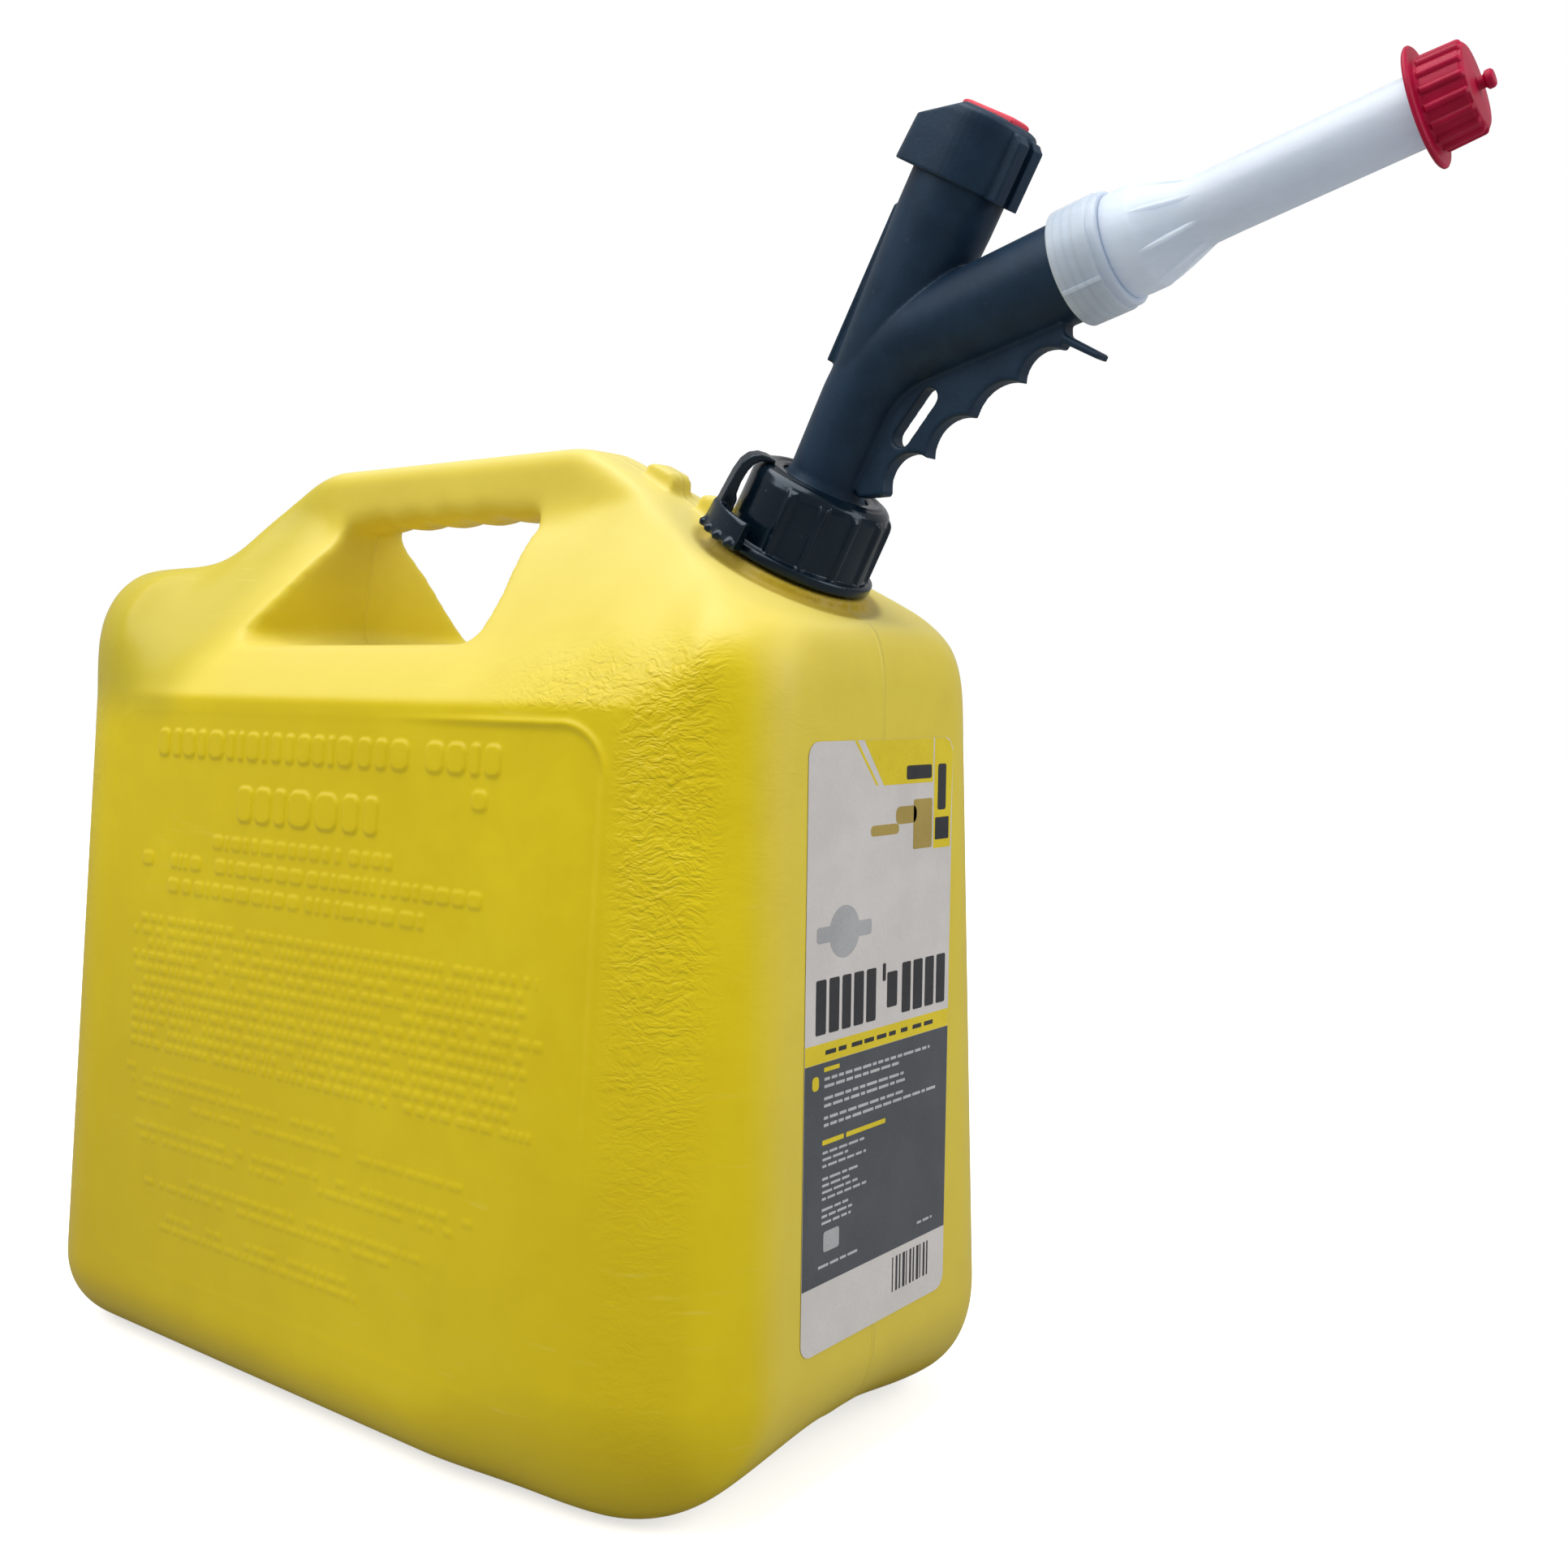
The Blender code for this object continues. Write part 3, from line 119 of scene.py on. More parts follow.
def mesh_object(name, points, faces, where=None):
    """A closed mesh from millimetre points, its faces turned outwards."""
    points = np.array([tuple(p) for p in points], float)
    if where is not None:
        frame = np.array(where, float)
        points = points @ frame[:3, :3].T + frame[:3, 3]
    mesh = bpy.data.meshes.new(name)
    mesh.from_pydata((points * MM).tolist(), [], faces)
    bm = bmesh.new()
    bm.from_mesh(mesh)
    bmesh.ops.recalc_face_normals(bm, faces=bm.faces)
    bmesh.ops.triangulate(bm, faces=[f for f in bm.faces if len(f.verts) > 4])
    bm.to_mesh(mesh)
    bm.free()
    return add_object(name, mesh)


def loft(name, rings, where=None):
    """A skin over rings of equal point count, closed at both ends."""
    size = len(rings[0])
    faces = []
    for k in range(len(rings) - 1):
        here, there = k * size, (k + 1) * size
        for i in range(size):
            j = (i + 1) % size
            faces.append((here + i, here + j, there + j, there + i))
    faces.append(tuple(range(size))[::-1])
    faces.append(tuple((len(rings) - 1) * size + i for i in range(size)))
    return mesh_object(name, [p for ring in rings for p in ring], faces, where)


def lathe(name, profile, where=None, steps=96, flutes=None):
    """A closed (radius, height) profile turned about Z. flutes(angle, radius, height) may
    change the radius round the turn."""
    points, rows = [], []
    for radius, height in profile:
        if radius < 1e-6:
            rows.append([len(points)] * steps)
            points.append((0.0, 0.0, height))
            continue
        row = []
        for i in range(steps):
            angle = 2 * math.pi * i / steps
            local = flutes(angle, radius, height) if flutes else radius
            row.append(len(points))
            points.append((local * math.cos(angle), local * math.sin(angle), height))
        rows.append(row)
    faces = []
    for k, here in enumerate(rows):
        there = rows[(k + 1) % len(rows)]
        for i in range(steps):
            j = (i + 1) % steps
            loop = []
            for index in (here[i], here[j], there[j], there[i]):
                if index not in loop:
                    loop.append(index)
            if len(loop) > 2:
                faces.append(tuple(loop))
    return mesh_object(name, points, faces, where)


def cylinder(name, radius, low, high, where):
    return lathe(name, [(0.0, low), (radius, low), (radius, high), (0.0, high)], where)


def rounded(profile, radius, steps=3):
    """A profile with its corners turned into small arcs. A third number in a point is that
    corner's own radius. Points whose first number is zero or less stay sharp."""
    points = [Vector(p[:2]) for p in profile]
    out = []
    for i, corner in enumerate(points):
        own = profile[i][2] if len(profile[i]) > 2 else radius
        to_last = points[i - 1] - corner
        to_next = points[(i + 1) % len(points)] - corner
        if corner.x < 1e-6 or to_last.angle(to_next) > math.radians(168):
            out.append(tuple(corner))
            continue
        back = own / math.tan(to_last.angle(to_next) / 2)
        back = min(back, 0.45 * to_last.length, 0.45 * to_next.length)
        start = corner + to_last.normalized() * back
        end = corner + to_next.normalized() * back
        for k in range(steps + 1):
            t = k / steps
            point = start * (1 - t) ** 2 + corner * 2 * t * (1 - t) + end * t**2
            out.append((point.x, point.y))
    return out


def box(name, low, high, where):
    (x0, y0, z0), (x1, y1, z1) = low, high
    rings = [[(x0, y0, z), (x1, y0, z), (x1, y1, z), (x0, y1, z)] for z in (z0, z1)]
    return loft(name, rings, where)


def prism(name, outline, half_width, where=None):
    """An (x, z) outline stretched half_width to each side of y = 0."""
    rings = [[(x, y, z) for x, z in outline] for y in (-half_width, half_width)]
    return loft(name, rings, where)


def tube_along(name, path, radii, steps):
    """A round tube along a path in the plane y = 0."""
    rings = []
    side = Vector((0.0, 1.0, 0.0))
    for k, centre in enumerate(path):
        last, following = path[max(k - 1, 0)], path[min(k + 1, len(path) - 1)]
        up = (following - last).normalized().cross(side).normalized()
        ring = []
        for i in range(steps):
            angle = 2 * math.pi * i / steps
            ring.append(centre + radii[k] * (math.cos(angle) * up + math.sin(angle) * side))
        rings.append(ring)
    return loft(name, rings)


def thread(name, radius, turns, start, depth, where, pitch, root_half, crest_half):
    """A screw thread on a wall, with faded ends. A negative depth makes it stand inwards."""
    per_turn = 48
    count = int(per_turn * turns)
    root = radius + (-0.5 if depth > 0 else 0.5)
    rings = []
    for k in range(count + 1):
        angle = 2 * math.pi * k / per_turn
        z = start + pitch * k / per_turn
        crest = radius + depth * min(1.0, (k + 0.6) / 10.0, (count - k + 0.6) / 10.0)
        section = (
            (root, z - root_half), (crest, z - crest_half),
            (crest, z + crest_half), (root, z + root_half),
        )
        rings.append([(r * math.cos(angle), r * math.sin(angle), h) for r, h in section])
    return loft(name, rings, where)


def coil(name, mean_radius, wire_radius, bottom, top, turns, where):
    """A compression spring whose first and last half turns lie flat."""
    per_turn, sides = 36, 12
    total = int(per_turn * turns)
    flat = per_turn // 2
    low, high = bottom + wire_radius, top - wire_radius
    up = Vector((0, 0, 1))
    rings = []
    for k in range(total + 1):
        if k <= flat:
            z = low
        elif k >= total - flat:
            z = high
        else:
            z = low + (high - low) * (k - flat) / (total - 2 * flat)
        angle = 2 * math.pi * k / per_turn
        centre = Vector((mean_radius * math.cos(angle), mean_radius * math.sin(angle), z))
        radial = Vector((centre.x, centre.y, 0)).normalized()
        ring = []
        for i in range(sides):
            angle = 2 * math.pi * i / sides
            ring.append(centre + wire_radius * (math.cos(angle) * radial + math.sin(angle) * up))
        rings.append(ring)
    return loft(name, rings, where)


def arc_points(start, end, sagitta, count):
    """Points after start on a clockwise arc to end. sagitta is the arc's height."""
    (ax, az), (bx, bz) = start, end
    chord = math.hypot(bx - ax, bz - az)
    normal_x, normal_z = -(bz - az) / chord, (bx - ax) / chord
    radius = (chord * chord / 4 + sagitta * sagitta) / (2 * sagitta)
    centre_x = (ax + bx) / 2 - normal_x * (radius - sagitta)
    centre_z = (az + bz) / 2 - normal_z * (radius - sagitta)
    first = math.atan2(az - centre_z, ax - centre_x)
    last = math.atan2(bz - centre_z, bx - centre_x)
    if last > first:
        last -= 2 * math.pi
    angles = [first + (last - first) * k / count for k in range(1, count + 1)]
    return [(centre_x + radius * math.cos(a), centre_z + radius * math.sin(a)) for a in angles]


def mirrored(half):
    """A (radius, y) half outline followed by its mirror image."""
    return half + [(radius, -y) for radius, y in reversed(half)]


# ------------------------------------------------------------------ mesh operations
def is_closed(mesh):
    bm = bmesh.new()
    bm.from_mesh(mesh)
    closed = len(bm.faces) > 0 and all(len(edge.link_faces) == 2 for edge in bm.edges)
    bm.free()
    return closed


def evaluated_mesh(obj):
    graph = bpy.context.evaluated_depsgraph_get()
    graph.update()
    return bpy.data.meshes.new_from_object(obj.evaluated_get(graph))


def swap_mesh(obj, mesh):
    old = obj.data
    obj.data = mesh
    bpy.data.meshes.remove(old)


def combine(obj, tool, operation):
    """Joins or cuts with a tool, then drops the tool. Where the exact solver leaves an edge
    open the manifold solver is tried, and if that fails too the piece stays as it is."""
    bpy.context.view_layer.update()
    mod = obj.modifiers.new("cut", "BOOLEAN")
    mod.operation = operation
    mod.object = tool
    result = None
    for solver in ("EXACT", "MANIFOLD"):
        mod.solver = solver
        tried = evaluated_mesh(obj)
        if is_closed(tried):
            result = tried
            break
    obj.modifiers.clear()
    if result is not None:
        swap_mesh(obj, result)
    tool_mesh = tool.data
    bpy.data.objects.remove(tool)
    bpy.data.meshes.remove(tool_mesh)


def join(obj, *tools):
    for tool in tools:
        combine(obj, tool, "UNION")


def cut(obj, *tools):
    for tool in tools:
        combine(obj, tool, "DIFFERENCE")


def read_vectors(mesh, key):
    values = np.empty(len(mesh.vertices) * 3, np.float32)
    mesh.vertices.foreach_get(key, values)
    return values.reshape(-1, 3).astype(float)


def write_points(mesh, points):
    mesh.vertices.foreach_set("co", points.astype(np.float32).ravel())
    mesh.update()


def relax(obj, rounds, weight=None):
    """Softens a mesh by moving each point halfway to the mean of its neighbours."""
    mesh = obj.data
    edges = np.empty(len(mesh.edges) * 2, np.int32)
    mesh.edges.foreach_get("vertices", edges)
    start, end = edges.reshape(-1, 2).T
    points = read_vectors(mesh, "co")
    count = len(points)
    degree = np.bincount(start, minlength=count) + np.bincount(end, minlength=count)
    degree = np.maximum(degree, 1)[:, None]
    weight = np.ones((count, 1)) if weight is None else weight[:, None]
    for _ in range(rounds):
        total = np.empty_like(points)
        for axis in range(3):
            total[:, axis] = np.bincount(
                start, weights=points[end, axis], minlength=count
            ) + np.bincount(end, weights=points[start, axis], minlength=count)
        points = points + 0.5 * weight * (total / degree - points)
    write_points(mesh, points)


def reskin(obj, size, rounds):
    """Rebuilds a solid as an even skin with soft edges, as a moulding has."""
    mod = obj.modifiers.new("skin", "REMESH")
    mod.mode = "VOXEL"
    mod.voxel_size = size * MM * 1.0
    mod.adaptivity = 0.0
    bpy.context.view_layer.update()
    mesh = evaluated_mesh(obj)
    obj.modifiers.clear()
    swap_mesh(obj, mesh)
    relax(obj, max(1, rounds // (1)))


def finish_piece(obj, material, body, node, sharp=None):
    obj.data.materials.clear()
    obj.data.materials.append(material)
    obj.data.shade_smooth()
    if sharp is not None:
        obj.data.set_sharp_from_angle(angle=math.radians(sharp))
    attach(obj, body)
    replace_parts(obj, node)


def smoothstep(x, low, high):
    t = np.clip((x - low) / (high - low), 0.0, 1.0)
    return t * t * (3 - 2 * t)


# ------------------------------------------------------------------ material builder
class Value:
    """A shader output. Arithmetic on it adds Math nodes."""

    def __init__(self, mat, socket):
        self.mat = mat
        self.socket = socket

    def __add__(self, other):
        return self.mat.math("ADD", self, other)

    def __radd__(self, other):
        return self.mat.math("ADD", other, self)

    def __sub__(self, other):
        return self.mat.math("SUBTRACT", self, other)

    def __mul__(self, other):
        return self.mat.math("MULTIPLY", self, other)

    def __abs__(self):
        return self.mat.math("ABSOLUTE", self)

    def ramp(self, start, end, to=(0.0, 1.0)):
        """A smooth step from to[0] at start to to[1] at end, which may be the lower of the two."""
        limits = {"From Min": start, "From Max": end, "To Min": to[0], "To Max": to[1]}
        return self.mat.node(
            "ShaderNodeMapRange", inputs={"Value": self, **limits}, interpolation_type="SMOOTHSTEP"
        )


def rgba(colour):
    return colour if isinstance(colour, Value) else (*colour, 1.0)


class Surface:
    """A Principled material with short builders for nodes. Positions are object space metres."""

    def __init__(self, name, colour=(0.5, 0.5, 0.5), roughness=0.4, metallic=0.0):
        self.material = bpy.data.materials.new(name)
        self.material.use_nodes = True
        self.tree = self.material.node_tree
        self.shader = self.tree.nodes["Principled BSDF"]
        self.put("Base Color", rgba(colour))
        self.put("Roughness", roughness)
        self.put("Metallic", metallic)
        self.place = self.node("ShaderNodeTexCoord", output="Object")

    def connect(self, socket, value):
        if isinstance(value, Value):
            self.tree.links.new(value.socket, socket)
        else:
            socket.default_value = value

    def put(self, key, value):
        self.connect(self.shader.inputs[key], value)

    def node(self, kind, output=0, inputs=None, **settings):
        node = self.tree.nodes.new(kind)
        for key, value in settings.items():
            setattr(node, key, value)
        for key, value in (inputs or {}).items():
            self.connect(node.inputs[key], value)
        return Value(self, node.outputs[output])

    def stretch(self, scale, place=None, turn=(0, 0, 0)):
        inputs = {"Vector": place or self.place, "Scale": scale, "Rotation": turn}
        return self.node("ShaderNodeMapping", inputs=inputs)

    def noise(self, scale, detail=3.0, rough=0.5, place=None, output=0):
        inputs = {"Vector": place or self.place, "Scale": scale}
        inputs.update({"Detail": detail, "Roughness": rough})
        return self.node("ShaderNodeTexNoise", output=output, inputs=inputs)

    def mottle(self, scale):
        return self.noise(scale=scale, detail=4.0, rough=0.6)

    def math(self, operation, first, second=0.0):
        inputs = {0: first, 1: second, 2: 0.0}
        return self.node("ShaderNodeMath", inputs=inputs, operation=operation)

    def vector(self, operation, *values, output=0):
        inputs = dict(enumerate(values))
        return self.node("ShaderNodeVectorMath", output, inputs, operation=operation)

    def axes(self):
        first = self.node("ShaderNodeSeparateXYZ", inputs={0: self.place})
        return [Value(self, socket) for socket in first.socket.node.outputs]

    def blend(self, amount, under, over):
        inputs = {0: amount, 6: rgba(under), 7: rgba(over)}
        return self.node("ShaderNodeMix", output=2, inputs=inputs, data_type="RGBA")

    def bump(self, height, distance, strength=1.0, under=None):
        inputs = {"Height": height, "Distance": distance, "Strength": strength}
        if under is not None:
            inputs["Normal"] = under
        return self.node("ShaderNodeBump", inputs=inputs)

    def done(self, normal):
        self.put("Normal", normal)
        return self.material


# Spans over which noise turns from one tone to the other.
TONES = dict(start=0.36, end=0.66)
DARK_TONES = dict(start=0.35, end=0.68)
SCUFFS = dict(start=0.60, end=0.74)


# ------------------------------------------------------------------ materials of the can
def yellow_plastic():
    """Satin moulded plastic, leather grain by the front corners and a parting line at y = 0."""
    mat = Surface("can_yellow", roughness=0.36)
    x, y, z = mat.axes()
    broad = mat.noise(scale=5.0, detail=2.0)
    mottle = mat.mottle(scale=46.0)
    fine = mat.noise(scale=420.0, detail=3.0, rough=0.6)
    tone = broad * 0.55 + mottle * 0.45
    colour = mat.blend(tone.ramp(**TONES), (0.655, 0.500, 0.0030), (0.715, 0.565, 0.0060))
    # Painted shade: a deeper tone towards the foot, stronger at the rear.
    front_foot_shade = (
        z.ramp(start=0.26, end=0.02)
        * x.ramp(start=0.02, end=0.17, to=(0.10, 0.30))
        * x.ramp(start=0.164, end=0.174, to=(1.0, 0.25))
    )
    rear_foot_shade = z.ramp(start=0.23, end=0.03) * x.ramp(start=0.06, end=-0.16, to=(0.20, 0.52))
    colour = mat.blend(front_foot_shade + rear_foot_shade, colour, (0.480, 0.345, 0.0008))
    # Painted highlight: surfaces that face up are paler, more so high on the can and less at the
    # rear.
    normal = mat.node("ShaderNodeNewGeometry", output="Normal")
    facing_up = mat.node("ShaderNodeSeparateXYZ", output=2, inputs={0: normal})
    top_sheen = facing_up.ramp(start=0.16, end=0.95) * 0.62 + z.ramp(start=0.262, end=0.340) * 0.42
    top_sheen = top_sheen * mottle.ramp(start=0.0, end=0.6, to=(0.82, 1.0))
    top_sheen = top_sheen * x.ramp(start=-0.176, end=-0.050, to=(0.30, 1.0))
    colour = mat.blend(top_sheen, colour, (0.690, 0.590, 0.170))
    # Painted shade: a deeper tint on the rear shoulder. Painted sheen: a paler tint on the front
    # face.
    rear_shoulder_shade = x.ramp(start=-0.082, end=-0.108) * z.ramp(start=0.246, end=0.270) * 0.74
    colour = mat.blend(rear_shoulder_shade, colour, (0.445, 0.368, 0.030))
    front_face_sheen = x.ramp(start=0.1690, end=0.1780) * y.ramp(start=-0.068, end=-0.050) * 0.30
    colour = mat.blend(front_face_sheen, colour, (0.660, 0.565, 0.180))
    # Painted shade: the seat below the collar's flange is darkened to a deep amber.
    from_seat = mat.vector("SUBTRACT", mat.place, tuple(Vector(NECK_BASE) * MM))
    up_neck = mat.vector("DOT_PRODUCT", from_seat, tuple(NECK_AXIS), output="Value")
    reach = mat.vector("LENGTH", from_seat, output="Value")
    square = mat.math("MAXIMUM", reach * reach - up_neck * up_neck, 0.0)
    off_axis = mat.math("SQRT", square)
    seat = off_axis.ramp(start=0.0372, end=0.0334) * up_neck.ramp(start=-0.0125, end=-0.0095)
    colour = mat.blend(seat * 0.72, colour, (0.26, 0.165, 0.002))
    # Handling marks: faint long scuffs, lighter and rougher.
    streaks = mat.stretch((26.0, 26.0, 260.0), turn=(0.0, 0.5, 0.2))
    scuff = mat.noise(scale=1.0, detail=4.0, rough=0.65, place=streaks).ramp(**SCUFFS)
    scuff = scuff * mat.noise(scale=9.0, detail=2.0).ramp(start=0.48, end=0.62)
    colour = mat.blend(scuff * 0.16, colour, (0.80, 0.66, 0.20))
    mat.put("Base Color", colour)
    mat.put("Roughness", (0.335 + mottle * 0.07) + (scuff * 0.14 + fine * 0.03))
    mat.put("Specular IOR Level", 0.24)
    mat.put("Subsurface Weight", 0.04)
    mat.put("Subsurface Radius", (0.005, 0.0035, 0.0006))
    mat.put("Subsurface Scale", 0.6)
    # Leather grain: short creases that slope both ways, pulled about by noise.
    pull = mat.noise(scale=70.0, detail=2.0, output="Color")
    warped = mat.vector("MULTIPLY_ADD", pull, (0.010, 0.010, 0.010), mat.place)

    def creases(turn, across, up):
        place = mat.stretch((1.0, 1.0, 1.0), warped, (0.0, turn, 0.0))
        place = mat.stretch((across, across, up), place)
        return abs(mat.noise(scale=1.0, detail=2.0, place=place) - 0.5)

    rising = creases(turn=0.34, across=150.0, up=400.0)
    falling = creases(turn=-0.42, across=165.0, up=430.0)
    long_fold = creases(turn=0.10, across=55.0, up=170.0)
    grain = (
        rising.ramp(start=0.0, end=0.16)
        + falling.ramp(start=0.0, end=0.16)
        + long_fold.ramp(start=0.0, end=0.10) * 0.9
    )
    # Where the grain shows: between panel and front face, on the front shoulder, at the rear.
    side = x.ramp(start=0.1350, end=0.1480)
    fade = z.ramp(start=0.070, end=0.235, to=(0.14, 1.0)) * z.ramp(start=0.292, end=0.272)
    face = x.ramp(start=0.1735, end=0.1620, to=(0.08, 1.0))
    corner = side * fade * face
    shoulder_x = x.ramp(start=0.060, end=0.125) * x.ramp(start=0.150, end=0.135)
    shoulder_z = z.ramp(start=0.2585, end=0.264) * z.ramp(start=0.290, end=0.272)
    shoulder = shoulder_x * shoulder_z
    rear = x.ramp(start=-0.140, end=-0.150) * z.ramp(start=0.30, end=0.26) * 0.30
    cover = mat.math("MAXIMUM", mat.math("MAXIMUM", corner, shoulder * 0.9), rear)
    leather = mat.bump(grain * cover, distance=0.00015)
    # The parting line, a bead 0.8 mm to each side, and the orange-peel of the skin.
    across = y * (1.0 / 0.0008)
    bead = mat.math("POWER", 2.718, across * across * -1.0)
    parting = mat.bump(bead * 1.0 + fine * 0.05, distance=0.00045, strength=0.8, under=leather)
    peel = mottle + mat.noise(scale=150.0, detail=2.0) * 0.35
    return mat.done(mat.bump(peel, distance=0.00022, strength=0.6, under=parting))


def dark_plastic(name, low, high, roughness, grain, wear, shine):
    """Black-blue moulded plastic with a fine texture, rubbed lighter on its edges."""
    mat = Surface(name)
    mottle = mat.mottle(scale=70.0)
    fine = mat.noise(scale=900.0, detail=3.0, rough=0.6)
    edge = mat.node("ShaderNodeNewGeometry", output="Pointiness").ramp(start=0.515, end=0.565)
    patches = mat.noise(scale=160.0, detail=4.0, rough=0.65).ramp(start=0.40, end=0.62)
    rubbed = edge * patches
    colour = mat.blend(mottle.ramp(**DARK_TONES), low, high)
    colour = mat.blend(rubbed * wear, colour, (0.075, 0.085, 0.105))
    dust = mat.noise(scale=260.0, detail=5.0, rough=0.7).ramp(start=0.62, end=0.76) * 0.10
    colour = mat.blend(dust, colour, (0.10, 0.105, 0.115))
    mat.put("Base Color", colour)
    mat.put("Roughness", roughness + mottle * 0.08 + rubbed * 0.10)
    mat.put("Specular IOR Level", shine)
    mat.put("Specular Tint", (0.72, 0.86, 1.0, 1.0))
    texture = mat.bump(fine, distance=grain)
    return mat.done(mat.bump(mottle, distance=0.00010, strength=0.6, under=texture))


def thread_shadow(mat, base):
    """Faint bands where the spigot's thread shows through the nut's wall."""
    start, end = 0.0738, 0.0835
    moved = mat.vector("SUBTRACT", mat.place, (JUNCTION.x * MM, 0.0, JUNCTION.z * MM))
    along = mat.vector("DOT_PRODUCT", moved, tuple(BRANCH_AXIS), output="Value")
    wave = mat.math("SINE", (along - start) * (2 * math.pi / (NOZZLE_THREAD["pitch"] * MM)))
    inside = along.ramp(start=start, end=start + 0.001) * along.ramp(start=end, end=end - 0.001)
    amount = wave.ramp(start=-0.2, end=0.9) * inside * 0.55
    return mat.blend(amount, base, (0.40, 0.48, 0.62))


def natural_plastic(name, colour, clear, glow=0.0, banded=False):
    """Milky unpigmented plastic."""
    mat = Surface(name, roughness=0.34)
    mottle = mat.mottle(scale=60.0)
    streak = mat.noise(scale=1.0, rough=0.6, place=mat.stretch((60.0, 420.0, 420.0)))
    tone = (mottle * 0.6 + streak * 0.4).ramp(**TONES)
    base = mat.blend(tone, tuple(c * 0.93 for c in colour), colour)
    if banded:
        base = thread_shadow(mat, base)
    mat.put("Base Color", base)
    mat.put("Roughness", 0.30 + mottle * 0.10)
    mat.put("Transmission Weight", clear)
    mat.put("IOR", 1.48)
    # Light that comes through the far wall.
    mat.put("Emission Color", (0.72, 0.83, 1.0, 1.0))
    mat.put("Emission Strength", glow)
    mat.put("Subsurface Weight", 0.80)
    mat.put("Subsurface Radius", (0.010, 0.010, 0.012))
    mat.put("Subsurface Scale", 1.0)
    ripple = streak * 0.7 + mat.noise(scale=700.0, detail=2.0) * 0.15
    return mat.done(mat.bump(ripple, distance=0.00012, strength=0.7))


def coloured_plastic(name, low, high):
    mat = Surface(name)
    mottle = mat.mottle(scale=90.0)
    fine = mat.noise(scale=1000.0, detail=3.0, rough=0.6)
    streaks = mat.stretch((180.0, 700.0, 700.0))
    scuff = mat.noise(scale=1.0, detail=4.0, rough=0.65, place=streaks).ramp(**SCUFFS)
    colour = mat.blend(mottle.ramp(**DARK_TONES), low, high)
    pale = tuple(min(1.0, c * 1.5 + 0.05) for c in high)
    mat.put("Base Color", mat.blend(scuff * 0.12, colour, pale))
    mat.put("Roughness", 0.40 + mottle * 0.08 + scuff * 0.12)
    mat.put("Specular IOR Level", 0.18)
    return mat.done(mat.bump(fine + mottle * 2.0, distance=0.00004, strength=0.8))


def rubber():
    mat = Surface("seal_rubber")
    mottle = mat.mottle(scale=140.0)
    mat.put("Base Color", mat.blend(mottle, (0.014, 0.014, 0.015), (0.034, 0.034, 0.036)))
    mat.put("Roughness", 0.62 + mottle * 0.2)
    return mat.done(mat.bump(mat.noise(scale=1200.0), distance=0.00006, strength=0.8))


def steel():
    mat = Surface("drawn_steel", metallic=1.0)
    place = mat.stretch((900.0, 900.0, 900.0))
    brush = mat.noise(scale=1.0, detail=4.0, rough=0.6, place=place)
    stain = mat.mottle(scale=120.0)
    mat.put("Base Color", mat.blend(stain, (0.42, 0.42, 0.44), (0.62, 0.62, 0.64)))
    mat.put("Roughness", 0.24 + brush * 0.22)
    return mat.done(mat.bump(brush, distance=0.00003, strength=0.8))


def film(name, low, high, roughness=0.34):
    """Printed label film: a faint ripple and ink that varies a little."""
    mat = Surface(name)
    mottle = mat.mottle(scale=38.0)
    fine = mat.noise(scale=900.0, detail=2.0)
    mat.put("Base Color", mat.blend((mottle * 0.7 + fine * 0.3).ramp(**TONES), low, high))
    mat.put("Roughness", roughness + mottle * 0.10)
    mat.put("Specular IOR Level", 0.30)
    mat.put("Coat Weight", 0.08)
    mat.put("Coat Roughness", 0.18)
    return mat.done(mat.bump(mottle + fine * 0.06, distance=0.00030, strength=0.5))


yellow = yellow_plastic()
black = dark_plastic(
    "spout_black_plastic", low=(0.0050, 0.0170, 0.0370), high=(0.0080, 0.0250, 0.0520),
    roughness=0.42, grain=0.00005, wear=0.22, shine=0.30,
)
gloss = dark_plastic(
    "collar_black_plastic", low=(0.0012, 0.0052, 0.0105), high=(0.0028, 0.0085, 0.0160),
    roughness=0.16, grain=0.00002, wear=0.45, shine=0.36,
)
nozzle_milky = natural_plastic("nozzle_milky", (0.610, 0.700, 0.880), clear=0.03, glow=0.085)
nut_milky = natural_plastic("nut_milky", (0.50, 0.590, 0.76), clear=0.03, glow=0.03, banded=True)
crimson = coloured_plastic("cap_crimson", low=(0.340, 0.0010, 0.030), high=(0.430, 0.0020, 0.045))
red = coloured_plastic("button_red", low=(0.62, 0.045, 0.075), high=(0.70, 0.065, 0.10))
inner_plastic = natural_plastic("inner_plastic", (0.72, 0.72, 0.68), clear=0.05)
seal_rubber = rubber()
drawn_steel = steel()
white_film = film("label_white", low=(0.560, 0.530, 0.510), high=(0.620, 0.590, 0.570))
slate_film = film(
    "label_slate", low=(0.062, 0.068, 0.078), high=(0.076, 0.083, 0.095), roughness=0.42
)
yellow_film = film("label_yellow", low=(0.640, 0.500, 0.012), high=(0.720, 0.570, 0.020))
ink_film = film("label_ink", low=(0.020, 0.021, 0.024), high=(0.032, 0.033, 0.037))
grey_film = film("label_grey", low=(0.330, 0.335, 0.345), high=(0.400, 0.405, 0.415))
tan_film = film("label_tan", low=(0.340, 0.250, 0.060), high=(0.410, 0.300, 0.075))

